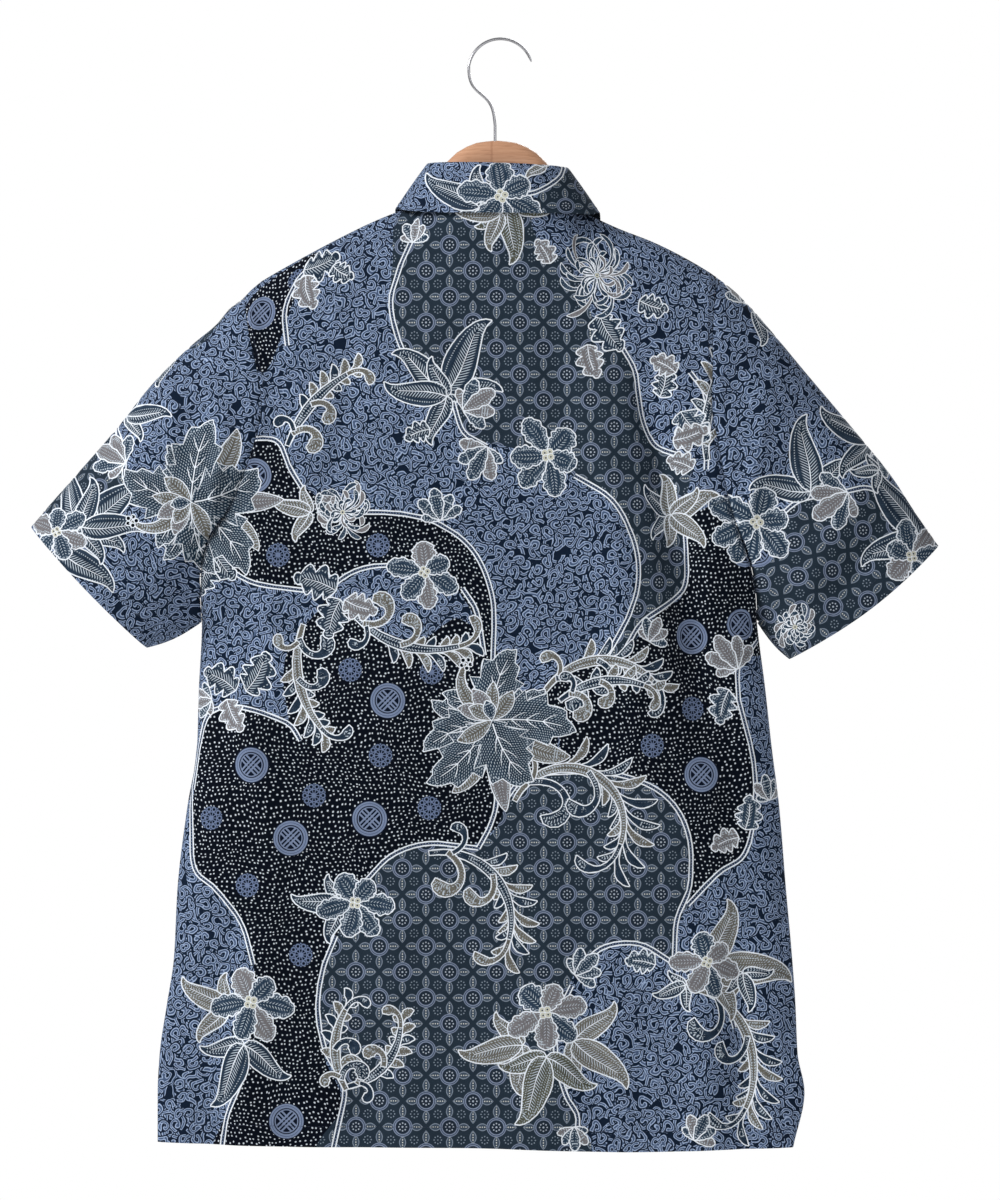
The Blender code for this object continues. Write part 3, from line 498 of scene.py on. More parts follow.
def toward(heading):
    """A step of length 1 at a heading in degrees."""
    turn = math.radians(heading)
    return np.array((math.cos(turn), math.sin(turn)))


def leaf(figures, at, heading, length, width, bend, paint):
    """A leaf with one full side, a tip drawn out and flicked back, and a white rib."""
    t = np.linspace(0.0, 1.0, 21)
    line = course(at, heading, length, bend, -1.7 * bend, 21)
    form = width / 2 * np.sin(math.pi * t**0.62) ** 0.85
    full = 1.0 + 0.22 * np.sin(math.pi * t)
    lean = (full, 2.0 - full) if bend > 0 else (2.0 - full, full)
    draw(figures, paint, line, form * lean[0], other=form * lean[1])
    wax_line(figures, line[:-5], 0.55, 0.25)


def spray(figures, at, heading, size, paint):
    """Three leaves from one point."""
    for turn, share, bend in ((-62, 0.66, 62), (50, 0.8, -70), (-6, 1, 58)):
        way = heading + turn - bend * 0.4
        leaf(figures, at, way, size * share, size * 0.37 * share, bend, paint)


def petal(figures, at, heading, length, width, paint, bend=0.0, lobes=4):
    """A petal that widens toward a ragged end, no two alike."""
    t = np.linspace(0.0, 1.0, 27)
    line = course(at, heading - bend * 0.4, length, bend, count=27)
    form = width / 2 * np.sin(math.pi * t**1.45) ** 0.5
    shift = 1.6 * math.sin(1.7 * len(figures))
    one, two = (np.sin(lobes * math.pi * t**1.2 + shift * way) for way in (1, -0.7))
    ragged = [form * (0.84 + 0.27 * np.abs(wave)) for wave in (one, two)]
    draw(figures, paint, line, ragged[0], other=ragged[1])


def orchid(figures, at, heading, size, paint, other):
    """Six ragged petals, long and short, round a heart of four grains."""
    for turn, share, wide, bend, colour in (
        (-90, 1.05, 0.52, -20, paint),
        (218, 1.02, 0.5, 16, other),
        (110, 1.05, 0.5, 14, paint),
        (172, 0.92, 0.52, -14, paint),
        (34, 0.84, 0.6, 20, other),
        (-34, 0.74, 0.5, -12, paint),
    ):
        petal(figures, at, heading + turn, size * share, size * wide, colour, bend)
    for turn in (45.0, 135.0, 225.0, 315.0):
        heart = at + toward(heading + turn) * size * 0.09
        disc(figures, "wax", heart, size * 0.08 + 0.5)
        disc(figures, "grain", heart, size * 0.08 - 0.1)


def sprig(figures, at, heading, size, paint, other):
    """Petals fanned at a stem's end."""
    fan = ((74, 0.62, paint), (-70, 0.8, other), (38, 0.95, other), (-34, 0.9, paint))
    for turn, share, colour in (*fan, (2, 1.05, paint)):
        petal(figures, at, heading + turn, size * share, size * 0.4 * share, colour, turn * 0.3, 3)


def oak(figures, at, heading, size, paint):
    """A small leaf with deep round lobes."""
    t = np.linspace(0.0, 1.0, 35)
    line = course(at, heading - 14.0, size, 34.0, count=35)
    form = size * 0.4 * np.sin(math.pi * t**0.75) ** 0.6
    shift = math.sin(2.3 * len(figures))
    one, two = (np.sin(3.5 * math.pi * t**0.9 + shift * way) for way in (0.7, -0.5))
    lobed = [form * (0.42 + 0.6 * np.abs(wave)) for wave in (one, two)]
    draw(figures, paint, line, lobed[0], other=lobed[1])
    wax_line(figures, line[:-8], 0.35, 0.35)


def curl(figures, at, heading, length, bend, width, paint, head=0.8, wax=0.95, count=17):
    """A tendril that turns in. Its head swells at that share of the way, or it ends in a point."""
    t = np.linspace(0.0, 1.0, count)
    line = course(at, heading, length, bend, count=count, wait=1.6)
    if head:
        swell = np.exp(-(((t - head) / 0.22) ** 2)) * 0.66 + 0.34
        form = swell * np.sqrt(np.maximum(1.0 - t**9, 0.0))
    else:
        form = np.sin(math.pi * np.clip(t, 0.0, 1.0) ** 0.85) ** 0.7
    draw(figures, paint, line, width / 2 * form, wax)


def scroll(figures, at, heading, length, bend, fingers, paint, other):
    """An acanthus scroll: feathered fingers outside a stem, volutes inside it and at its end."""
    side = math.copysign(1.0, bend)
    line = course(at, heading, length, bend, count=31)
    for step in range(fingers):
        share = 0.3 + 0.7 * step / (fingers - 1)
        start = line[int(30 * share)]
        turn = heading + bend * share
        reach = length * (0.33 - 0.16 * abs(share - 0.6))
        colour = paint if step % 3 else other
        curl(figures, start, turn - side * 2.0, reach, -side * 78.0, 6.6, colour, 0.72)
        if step > 1:
            curl(figures, start, turn + side * 8.0, reach * 0.62, side * 84.0, 5.6, colour, 0.72)
    t = np.linspace(0.0, 1.0, 31)
    draw(figures, other, line, 1.6 + 1.9 * np.sin(math.pi * t) ** 2)
    for share, reach, turn, wide in ((0.16, 0.5, 235, 12.5), (0.5, 0.4, 215, 11)):
        start = line[int(30 * share)]
        way = heading + bend * share
        curl(figures, start, way + side * 30.0, length * reach, side * turn, wide, paint, 0.84)
    way = heading + bend * 0.16 - side * 35.0
    curl(figures, line[5], way, length * 0.3, -side * 190.0, 8.5, other, 0.84)
    curl(figures, line[-1], heading + bend, length * 0.36, side * 150.0, 8.0, paint, 0.84)


def chrysanthemum(figures, at, size, seed):
    """Many narrow petals that curl to round ends, the long ones under the short."""
    chance = np.random.default_rng(seed)
    at = np.array(at, float)
    for count, reach, width in ((15, 1.05, 3.9), (12, 0.74, 3.6), (8, 0.42, 3.2)):
        for step in range(count):
            heading = 360.0 * (step + 0.7 * chance.random()) / count
            bend = (70.0 + 110.0 * chance.random()) * (1 if chance.random() < 0.5 else -1)
            paint = "taupe" if chance.random() < 0.3 else "slate"
            length = size * reach * (0.75 + 0.4 * chance.random())
            start = at + toward(heading) * size * 0.08
            heading -= bend * 0.2
            curl(figures, start, heading, length, bend, width, paint, 0.84, 0.62, 15)
    disc(figures, "grain", at, 2.0)


# The great flower. Columns: heading, length, width, bend, paint.
FLOWER_PETALS = (
    (-30, 88, 22, 24, "leaf_warm"),
    (-113, 84, 20, -26, "leaf_warm"),
    (-82, 92, 20, 4, "taupe"),
    (64, 44, 20, 20, "leaf_warm"),
    (166, 64, 30, -20, "flower"),
    (148, 56, 32, 16, "flower"),
    (-160, 76, 38, 22, "flower"),
    (-131, 92, 46, -24, "flower"),
    (76, 76, 46, -26, "flower"),
    (26, 62, 34, 18, "flower"),
    (-4, 86, 50, -18, "flower"),
    (-62, 76, 56, 30, "flower"),
)
# The small petals at its heart, with the same columns.
HEART_PETALS = (
    (214, 40, 15, -30, "leaf_warm"),
    (158, 36, 15, 24, "taupe"),
    (52, 36, 15, 20, "leaf_warm"),
    (88, 38, 13, -10, "leaf_warm"),
    (120, 36, 16, 20, "taupe"),
    (148, 26, 14, 30, "leaf_warm"),
    (104, 20, 12, 20, "slate"),
)


def great_flower(figures, at, heading, size):
    """Broad toothed petals with forked veins, warm ones behind, a horn and a small heart."""
    at = np.array(at, float)
    size = size / 80.0
    t = np.linspace(0.0, 1.0, 41)
    for number, (turn, length, width, bend, paint) in enumerate(FLOWER_PETALS):
        angle = heading + turn
        broad = paint == "flower"
        line = course(at, angle - bend * 0.45, size * length, bend, bend * 0.8, count=41)
        fullest, blunt, tooth = (0.9, 0.95, 0.5) if broad else (1.3, 0.75, 0.0)
        form = size * width / 2 * np.sin(math.pi * t**fullest) ** blunt
        saw = [((t * 4.4 + 0.23 * number + way) % 1.0) ** 1.4 for way in (0.0, 0.45)]
        toothed = [form * (1.0 - tooth / 2 + tooth * teeth) for teeth in saw]
        draw(figures, paint, line, toothed[0], 0.9, toothed[1])
        if not broad:
            continue
        wax_line(figures, line[2:-7], 0.7, 0.25)
        for vein in (9, 16, 24):
            for side in (-1, 1):
                reach = size * width * 0.34
                way = course(line[vein], angle + side * 42.0, reach, -side * 26.0, count=7)
                wax_line(figures, way, 0.45, 0.15)
    start = course(at, heading + 132.0, size * 18.0, 0.0, count=2)[-1]
    line = course(start, heading + 160.0, size * 52.0, -105.0, count=21)
    draw(figures, "leaf_warm", line, size * 8.5 * (1.0 - np.linspace(0.0, 0.96, 21)) ** 0.8)
    for turn in (-140, -70, 0, 70, 140):
        tip = course(line[-1], heading + 60.0 + turn, size * 4.5, 0.0, count=2)[-1]
        disc(figures, "wax", tip, size * 2.9)
        disc(figures, "dots", tip, size * 1.9)
    for turn, length, width, bend, paint in HEART_PETALS:
        line = course(at, heading + turn - bend * 0.4, size * length, bend, count=41)
        draw(figures, paint, line, size * width / 2 * np.sin(math.pi * t**1.15) ** 0.8, 0.8)


def stem(figures, points):
    """A double white line with a row of dots between."""
    line = smooth_line(points)
    wax_line(figures, line, 2.1, 2.1)
    core = np.full(len(line), 0.95)
    figures.append(("stem_core", blade(line, core), line, core))


def disc(figures, paint, at, radius):
    """A round figure, which its paint draws from its middle."""
    turns = np.linspace(0.0, 2.0 * math.pi, 33)[:-1]
    outline = np.array(at, float) + np.stack([np.cos(turns), np.sin(turns)], -1) * radius
    figures.append((paint, outline, np.array([at, at], float), None))


def crossed(one, two):
    """The cross products of flat vectors."""
    return one[..., 0] * two[..., 1] - one[..., 1] * two[..., 0]


def carried(flat, faces, values, points):
    """What a flat net of triangles holds at its corners, read at points on it or nearest to it."""
    tree = BVHTree.FromPolygons([(x, y, 0.0) for x, y in flat], faces.tolist())
    found = [tree.find_nearest((x, y, 0.0)) for x, y in points]
    spots = np.array([hit[0][:2] for hit in found])
    corners = faces[[hit[2] for hit in found]]
    a, b, c = (flat[corners[:, k]] for k in range(3))
    area = crossed(b - a, c - a)
    area = np.where(np.abs(area) < 1e-9, 1e-9, area)
    two = crossed(spots - a, c - a)
    three = crossed(b - a, spots - a)
    shares = np.clip(np.stack([1 - (two + three) / area, two / area, three / area], -1), 0.0, 1.0)
    shares /= shares.sum(-1, keepdims=True)
    return (values[corners] * shares[..., None]).sum(1)


def along_line(points, line, widths):
    """How far along a line each point lies, how far off it, and how far inside the form's edge."""
    if widths is None:
        return np.column_stack([points - line[0], np.zeros(len(points))])
    starts = line[:-1]
    runs = np.diff(line, axis=0)
    lengths = np.maximum(np.linalg.norm(runs, axis=1), 1e-6)
    away = points[:, None] - starts
    share = np.clip((away * runs).sum(-1) / lengths**2, 0.0, 1.0)
    off = away - runs * share[..., None]
    near = np.hypot(off[..., 0], off[..., 1]).argmin(1)
    pick = np.arange(len(points)), near
    cross = crossed(runs[near], off[pick])
    across = np.copysign(np.hypot(off[pick][:, 0], off[pick][:, 1]), cross)
    done = totals(lengths)[near] + share[pick] * lengths[near]
    width = widths[near] + (widths[near + 1] - widths[near]) * share[pick]
    return np.column_stack([done, across, width - np.abs(across)])


def thinned(outline, reach=0.32):
    """The outline without the points that lie almost on the line between their neighbours."""
    for _ in range(6):
        last, after = np.roll(outline, 1, axis=0), np.roll(outline, -1, axis=0)
        run = after - last
        off = np.abs(crossed(run, outline - last))
        idle = off < reach * np.maximum(np.linalg.norm(run, axis=1), 1e-9)
        idle[::2] = False
        if len(outline) - idle.sum() < 6:
            break
        outline = np.roll(outline[~idle], 1, axis=0)
    return outline


def within(points, outline):
    """Which points lie inside an outline, however often it crosses itself."""
    x, y = points.T
    wound = np.zeros(len(points), int)
    for (x_one, y_one), (x_two, y_two) in zip(outline, np.roll(outline, -1, axis=0)):
        level = (y_one > y) != (y_two > y)
        if level.any():
            left = x < (x_two - x_one) * (y - y_one) / (y_two - y_one) + x_one
            wound += np.where(level & left, 1 if y_two > y_one else -1, 0)
    return wound != 0


def cut_flat(border, inner, outlines):
    """Triangles of a flat sheet with the outlines cut into it: (points, corners)."""
    loops = [border, *outlines]
    points = np.concatenate([*loops, inner])
    edges = []
    count = 0
    for loop in loops:
        edges += [(count + step, count + (step + 1) % len(loop)) for step in range(len(loop))]
        count += len(loop)
    corners = [Vector((float(x), float(y))) for x, y in points]
    spots, _, cells, _, _, _ = delaunay_2d_cdt(corners, edges, [], 0, 1e-4, False)
    spots = np.array([tuple(spot) for spot in spots])
    cells = np.array([cell for cell in cells if len(cell) == 3])
    return spots, cells[within(spots[cells].mean(1), border)]


def on_column(spots, column):
    """The points that lie on a column of the paper, and how far down it in rows."""
    starts, runs = column[:-1], np.diff(column, axis=0)
    away = spots[:, None] - starts
    share = np.clip((away * runs).sum(-1) / np.maximum((runs**2).sum(-1), 1e-12), 0.0, 1.0)
    off = np.linalg.norm(away - runs * share[..., None], axis=-1)
    near = off.argmin(1)
    pick = np.arange(len(spots)), near
    found = np.flatnonzero(off[pick] < 1e-3)
    return found, (near + share[pick])[found]


def linked(name, data):
    """A new object in the scene."""
    piece = bpy.data.objects.new(name, data)
    bpy.context.collection.objects.link(piece)
    return piece


def printed_cloth(name, net, paper, outward, figures, wall, tube=False, turn=0.0):
    """A sheet of printed cloth on a net of points. paper is the net laid flat, where the figures
    are drawn. Every figure is cut into the sheet, the later over the earlier. A tube's first and
    last columns are one seam."""
    rows, columns = net.shape[:2]
    flat = paper.reshape(-1, 2)
    faces = net_faces(rows, columns)
    low, high = flat.min(0), flat.max(0)
    used = [
        (figure[0], thinned(anticlockwise(figure[1])), *figure[2:])
        for figure in figures
        if (figure[1].max(0) > low).all() and (figure[1].min(0) < high).all()
    ]
    inner = paper[1:-1, 1:-1].reshape(-1, 2)
    every = np.arange(rows)
    steps = every.astype(float)
    for _ in range(2 if tube else 1):
        sides = [
            np.stack([np.interp(steps, every, paper[:, column, axis]) for axis in (0, 1)], -1)
            for column in (0, -1)
        ]
        border = np.concatenate([paper[0, :-1], sides[1][:-1], paper[-1, :0:-1], sides[0][:0:-1]])
        spots, cells = cut_flat(anticlockwise(border), inner, [figure[1] for figure in used])
        seams = [on_column(spots, paper[:, column]) for column in (0, -1)]
        steps = np.unique(np.round(np.concatenate([steps, seams[0][1], seams[1][1]]), 4))
    middles = spots[cells].mean(1)
    paint = np.full(len(cells), -1)
    for number, figure in enumerate(used):
        near = np.flatnonzero(((middles > figure[1].min(0)) & (middles < figure[1].max(0))).all(1))
        paint[near[within(middles[near], figure[1])]] = number
    held = np.concatenate([net, net_normals(net, outward)], -1).reshape(-1, 6)
    placed = carried(flat, faces, held, spots)
    outer = placed[:, :3]
    normal = unit(placed[:, 3:], 1e-9)
    sides = outer[cells]
    faced = np.cross(sides[:, 1] - sides[:, 0], sides[:, 2] - sides[:, 0])
    turned = (faced * normal[cells].sum(1)).sum(1) < 0
    cells[turned] = cells[turned][:, ::-1]

    number = len(spots)
    joined = np.arange(number)
    if tube:
        mates = {round(step, 3): spot for spot, step in zip(*seams[0])}
        for spot, step in zip(*seams[1]):
            joined[spot] = mates.get(round(step, 3), spot)
            normal[joined[spot]] += normal[spot]
        normal = unit(normal, 1e-9)
    sewn = joined[cells]
    whole = (sewn != np.roll(sewn, 1, axis=1)).all(1)
    cells, sewn, paint = cells[whole], sewn[whole], paint[whole]
    arrows = np.concatenate([sewn[:, [0, 1]], sewn[:, [1, 2]], sewn[:, [2, 0]]])
    known = {(a, b) for a, b in arrows.tolist()}
    rims = [(a, b) for a, b in known if (b, a) not in known]
    kept, sewn = np.unique(sewn, return_inverse=True)
    sewn = sewn.reshape(-1, 3)
    place_of = {spot: place for place, spot in enumerate(kept.tolist())}
    ends = [(place_of[a], place_of[b]) for a, b in rims]
    quads = [(b, a, a + len(kept), b + len(kept)) for a, b in ends]
    mesh = bpy.data.meshes.new(name)
    walls = sewn.tolist() + (sewn[:, ::-1] + len(kept)).tolist() + quads
    both = np.concatenate([outer[kept], outer[kept] - normal[kept] * wall])
    mesh.from_pydata((both * MM).tolist(), [], walls)
    mesh.polygons.foreach_set("use_smooth", np.ones(len(walls), bool))

    names = sorted({PLAIN, *(figure[0] for figure in used)})
    for paint_name in names:
        mesh.materials.append(PAINTS[paint_name])
    slots = np.array([names.index(figure[0]) for figure in used] + [names.index(PLAIN)])[paint]
    slots = np.concatenate([slots, slots, np.zeros(len(quads), int)])
    mesh.polygons.foreach_set("material_index", slots.astype(np.int32))

    figure_at = np.zeros((len(cells), 3, 3))
    for top in np.unique(paint):
        if top >= 0 and used[top][2] is not None:
            mine = np.flatnonzero(paint == top)
            place = spots[cells[mine]].reshape(-1, 2)
            figure_at[mine] = along_line(place, used[top][2], used[top][3]).reshape(-1, 3, 3)
    quad_points = np.array([(b, a, a, b) for a, b in rims])
    cosine, sine = math.cos(math.radians(turn)), math.sin(math.radians(turn))
    laid = spots @ np.array(((cosine, sine), (-sine, cosine)))
    cloth_at = np.concatenate([laid[cells], laid[cells[:, ::-1]]]).reshape(-1, 2)
    cloth_at = np.concatenate([cloth_at, laid[quad_points].reshape(-1, 2)])
    figure_at = np.concatenate([figure_at, figure_at[:, ::-1]]).reshape(-1, 3)
    figure_at = np.concatenate([figure_at, np.zeros((4 * len(quads), 3))])
    for layer, values in (
        ("cloth", cloth_at),
        ("figure", figure_at[:, :2]),
        ("rim", figure_at[:, [2, 0]]),
    ):
        values = (values * MM).astype(np.float32)
        mesh.uv_layers.new(name=layer).data.foreach_set("uv", values.reshape(-1))
    normals = np.concatenate([normal[kept], -normal[kept]])
    mesh.normals_split_custom_set_from_vertices(normals.tolist())
    return linked(name, mesh)


# ---- Sleeves and collar ----
# Short sleeves with dropped shoulders, and a soft two-piece collar. A sleeve is a tube from the
# armhole to the cuff that follows its top fold and sags along the underarm. The collar is a stand
# on the neck seam, and a fall that rolls over it.

# Columns: share of the way, left x, left z, right x, right z.
SLEEVE_TOP = (
    (0.00, -209.5, -213.2, 181.6, -194.6),
    (0.06, -220.0, -221.0, 193.0, -203.0),
    (0.12, -231.0, -234.0, 204.5, -213.6),
    (0.22, -250.5, -250.2, 223.0, -234.5),
    (0.40, -282.5, -281.4, 255.0, -273.0),
    (0.60, -315.0, -321.5, 289.5, -314.0),
    (0.80, -349.5, -361.0, 326.5, -359.5),
    (0.92, -372.5, -387.0, 346.0, -389.5),
    (1.00, -384.2, -401.2, 365.0, -416.9),
)
# Columns: lowest point of the cuff x and z, half its depth, how far its edge bows.
CUFFS = {-1: (-288.6, -501.2, 41, 1.5), 1: (241.9, -510.6, 33, 6.5)}

# Columns: x and z of one end, x and z of the other, half width, height.
SLEEVE_CREASES = (
    (-296, -489, -240, -472, 2.6, -3.4),
    (-300, -482, -246, -462, 5, 2.4),
    (-330, -350, -262, -455, 16, -4.2),
    (-262, -270, -300, -395, 13, 4.2),
    (-238, -262, -262, -380, 7, -4.4),
    (-222, -300, -236, -420, 6, 3.4),
    (-352, -388, -306, -452, 8, -2.6),
    (212, -470, 236, -473, 2.4, -2.8),
    (200, -262, 186, -306, 9, -4.6),
    (262, -300, 214, -430, 15, -4.8),
    (300, -362, 244, -470, 13, 4),
    (226, -270, 204, -400, 6, 3.2),
    (322, -392, 276, -470, 8, -3),
)


def sleeve_net(back, front, turn_side):
    """A tube from the armhole to the cuff, open along the underarm. Its columns run from there up
    the back edge of the armhole and down the front edge."""
    half = len(ARMHOLE_SHARES) - 1
    ring = np.concatenate([back[half::-1, 0 if turn_side < 0 else -1], front[1 : half + 1, 0]])
    ring[[0, half, -1], 1] = 0.0
    run = totals(np.linalg.norm(np.diff(ring, axis=0), axis=1))
    behind = math.pi * (run[half] - run[: half + 1]) / run[half]
    before = math.pi * (1.0 + (run[-1] - run[half + 1 :]) / (run[-1] - run[half]))
    angle = np.concatenate([behind, before])
    down = ((1.0 - np.cos(angle)) / 2)[:, None]
    belly = np.copysign(np.abs(np.sin(angle)) ** 0.85, -np.sin(angle))
    top = (1, 2) if turn_side < 0 else (3, 4)
    start_x, start_z, end_x, end_z = [SLEEVE_TOP[row][column] for row in (0, -1) for column in top]
    low_x, low_z, half_depth, bow = CUFFS[turn_side]
    chord = np.array((low_x - end_x, 0.0, low_z - end_z))
    out = unit(np.array((chord[2], 0.0, -chord[0])) * -turn_side)
    cuff = np.array((end_x, 0.0, end_z)) + chord * down + out * bow * np.sin(math.pi * down)
    cuff[:, 1] = 2.0 + half_depth * belly
    wrapped = np.concatenate([ring[-2:-1], ring, ring[1:2]])
    along = unit(wrapped[2:] - wrapped[:-2])
    leave = cuff - ring
    start = ring + ARMHOLE_SEAM * unit(leave - along * (leave * along).sum(-1, keepdims=True))
    t = closer(np.linspace(0.0, 1.0, 45))
    t = (0.7 * t + 0.3 * t * t)[:, None]
    net = start + (cuff - start) * t[..., None]
    near_top = ((1.0 + np.cos(angle)) / 2) ** 1.5
    for axis, column, first, last in ((0, top[0], start_x, end_x), (2, top[1], start_z, end_z)):
        net[..., axis] += (read(SLEEVE_TOP, column, t) - first - (last - first) * t) * near_top
    fade = np.sin(math.pi * np.minimum(t, 1.0))
    net[..., 1] += 7.0 * belly * fade
    net[..., 2] -= 3.0 * down[:, 0] ** 2 * fade
    for x_one, z_one, x_two, z_two, half_width, height in SLEEVE_CREASES:
        if x_one * turn_side < 0:
            continue
        way = np.array((x_two - x_one, z_two - z_one))
        aside, above = net[..., 0] - x_one, net[..., 2] - z_one
        share = (aside * way[0] + above * way[1]) / (way @ way)
        off = (above * way[0] - aside * way[1]) / np.linalg.norm(way)
        bump = np.maximum(np.sin(math.pi * np.clip(share, 0.0, 1.0)), 0.0) ** 0.6
        bump = bump * np.exp(-((off / half_width) ** 2)) * smooth(t * 6.0)
        net[..., 1] += height * bump * belly
    drawn_in = seam_roll(net.transpose(1, 0, 2)).T
    net[..., 1] -= (drawn_in - drawn_in[0]) * belly
    return net


def sleeve_paper(net, turn_side):
    """A sleeve laid flat: its back half keeps its place, its front half lies beyond the fold."""
    half = (net.shape[1] - 1) // 2
    top = net[:, half][:, [0, 2]]
    way = unit(top[-1] - top[0])
    across = np.array((way[1], -way[0])) * -turn_side
    spots = net[..., [0, 2]] - top[0]
    along = spots @ way
    off = spots @ across
    run = totals(np.hypot(np.diff(off, axis=1), np.diff(net[..., 1], axis=1)), 1)
    flat = off[:, half : half + 1] + run - run[:, half : half + 1]
    # The front half's places along the sleeve are those of the back, so the paper doesn't fold.
    return top[0] + along[..., None] * way + flat[..., None] * across


def collar_frame(turn):
    """The directions out of the neck and up the collar, both square to the neck seam."""
    along = unit(neck(turn + 1.0) - neck(turn - 1.0))
    angle = np.radians(turn)
    outward = np.stack([np.sin(angle), -np.cos(angle), 0.0 * angle], -1)
    outward = unit(outward - along * (along * outward).sum(-1, keepdims=True))
    upward = np.cross(along, outward)
    return outward, upward * np.sign(upward[..., 2:])


def stand_point(turn, up, lap=1.0):
    """The outer face of the collar stand: up is 0 on the neck seam and 1 at its top."""
    outward, upward = collar_frame(turn)
    lean = 2.0 + 7.0 * np.sin(np.radians(turn)) ** 2
    height = 29.5 - 5.5 * smooth((np.abs(turn) - 90.0) / 90.0)
    rise = (0.42 + (height - 0.42) * up)[..., None]
    point = neck(turn) + upward * rise - outward * (lean * up)[..., None]
    lapped = smooth((np.abs(turn) - 150.0) / 22.0) * np.where(turn < 0, 1.0, -1.0)
    point[..., 1] += 1.5 * lap * lapped
    return point


def stand_turns():
    middle = np.linspace(-90.0, 90.0, 41)
    return np.concatenate([-front_turns(-1)[:0:-1], middle, front_turns(1)[1:]])


def stand_net():
    turns = stand_turns()
    return np.stack([stand_point(turns, up) for up in np.linspace(1.0, 0.0, 9)])


# The fall's free edge. Columns: turn, distance from the middle, height on the left, height on the
# right, how far it stands off the panels.
FALL_EDGE = (
    (0, 0, -144.6, -144.6, 4),
    (30, 44, -144.2, -144.8, 4.5),
    (60, 74, -141.6, -144.8, 4.5),
    (90, 84.5, -138.4, -141.8, 4),
    (110, 85, -146.6, -149.4, 6.2),
    (130, 81, -172, -174, 4.6),
    (150, 72, -204, -205, 3.6),
    (165, 62, -228, -228, 3.4),
    (172, 56, -238, -238, 3.4),
)


def fall_edge(turn):
    away = np.abs(turn)
    x = NECK_MIDDLE + np.copysign(read(FALL_EDGE, 1, away), turn)
    z = np.where(turn < 0, read(FALL_EDGE, 2, away), read(FALL_EDGE, 3, away))
    proud = read(FALL_EDGE, 4, away)
    behind = -(32.0 + proud) * np.maximum(np.cos(np.radians(turn)), 0.0) ** 0.8 - 1.0
    before = depth(x, z, 1) + proud * smooth((away - 84.0) / 16.0)
    return np.stack([x, np.where(away < 90.0, behind, before), z], -1)


def fall_net():
    """Rows from the inner side of the roll, over its crest and down to the free edge."""
    inner = [turn for turn in stand_turns() if abs(turn) < 168.0]
    turns = np.array([-172.0, *inner, 172.0])
    outward, upward = collar_frame(turns)
    crest = stand_point(turns, 1.0, 0.0)
    edge = fall_edge(turns)
    wide = np.abs(turns)
    bulge = 0.4 + 2.2 * np.cos(np.radians(turns)) ** 2
    rolled = ((-0.8, -0.6), (-0.1, -0.1), (0.7, 0.1), (1.4, 0.0), (2.3, -0.15))
    shares = (0.03, 0.06, 0.14, 0.22, 0.3, 0.4, 0.5, 0.6, 0.7, 0.8, 0.88, 0.95, 1.0)
    rows = [(0.0, *way) for way in rolled] + [(share, 2.9, -0.6) for share in shares]
    net = []
    for share, out, lift in rows:
        over = out + 1.95 * smooth((wide - 138.0) / 30.0)
        roll = crest + outward * over[:, None] + upward * (3.0 + lift)
        full = outward * (bulge * math.sin(math.pi * share))[:, None]
        net.append(roll + (edge - roll) * share + full)
    return np.array(net)


def collar_paper(net):
    """A collar piece laid flat: across by length from the middle back, down by length."""
    middle = net.shape[1] // 2
    across = totals(np.linalg.norm(np.diff(net, axis=1), axis=2), 1)
    across += net[:, middle : middle + 1, 0] - across[:, middle : middle + 1]
    fall = np.linalg.norm(np.diff(net, axis=0), axis=2).mean(1)
    down = net[:, middle, 2].max() - totals(fall)
    return np.stack([across, np.broadcast_to(down[:, None], across.shape)], -1)


def backward(points):
    return np.array((0.0, -1.0, 0.0))


def forward(points):
    return np.array((0.0, 1.0, 0.0))


def from_neck(points):
    return (points - (NECK_MIDDLE, 0.0, 0.0)) * (1.0, 1.0, 0.0)


def from_axis(turn_side):
    """Out of a sleeve: away from the line from the armhole's middle to the cuff's."""
    low_x, low_z = CUFFS[turn_side][:2]
    end_x, end_z = SLEEVE_TOP[-1][1:3] if turn_side < 0 else SLEEVE_TOP[-1][3:]
    start = np.array((-225.0 if turn_side < 0 else 195.0, 2.0, -345.0))
    way = unit(np.array(((low_x + end_x) / 2, 2.0, (low_z + end_z) / 2)) - start)
    return lambda points: (points - start) - ((points - start) @ way)[:, None] * way


# ---- Dyes and wax ----
# Indigo, slate, taupe and olive dyes on plain cotton. Where wax kept the dye off, the cloth stays
# off-white. Lengths inside the nodes are in millimetres. Each material takes its places from the
# cloth laid flat, or from a figure's own line.


class Wire:
    """An output of a shader node. Sums of wires are written as usual and become math nodes."""

    def __init__(self, tree, socket):
        self.tree = tree
        self.socket = socket

    def math(self, operation, *others):
        made = node(self.tree, "Math", self, *others, operation=operation)
        return Wire(self.tree, made.outputs[0])

    def __add__(self, other):
        return self.math("ADD", other)

    def __sub__(self, other):
        return self.math("SUBTRACT", other)

    def __mul__(self, other):
        return self.math("MULTIPLY", other)

    def __truediv__(self, other):
        return self.math("DIVIDE", other)

    def __neg__(self):
        return self.math("MULTIPLY", -1.0)

    def __abs__(self):
        return self.math("ABSOLUTE")

    def both(self, other):
        return self.math("MINIMUM", other)

    def either(self, other):
        return self.math("MAXIMUM", other)

    def off_step(self, step, shift=0.0):
        """Distance from the nearest of the places that lie a step apart, with its sign."""
        turned = (self / step + (0.5 + shift)).math("FRACT")
        return (turned - 0.5) * step

    def below(self, limit, soft=0.15):
        """1 where this is less than the limit, with a soft edge."""
        made = -(self - limit) / soft + 0.5
        return made.math("MAXIMUM", 0.0).math("MINIMUM", 1.0)


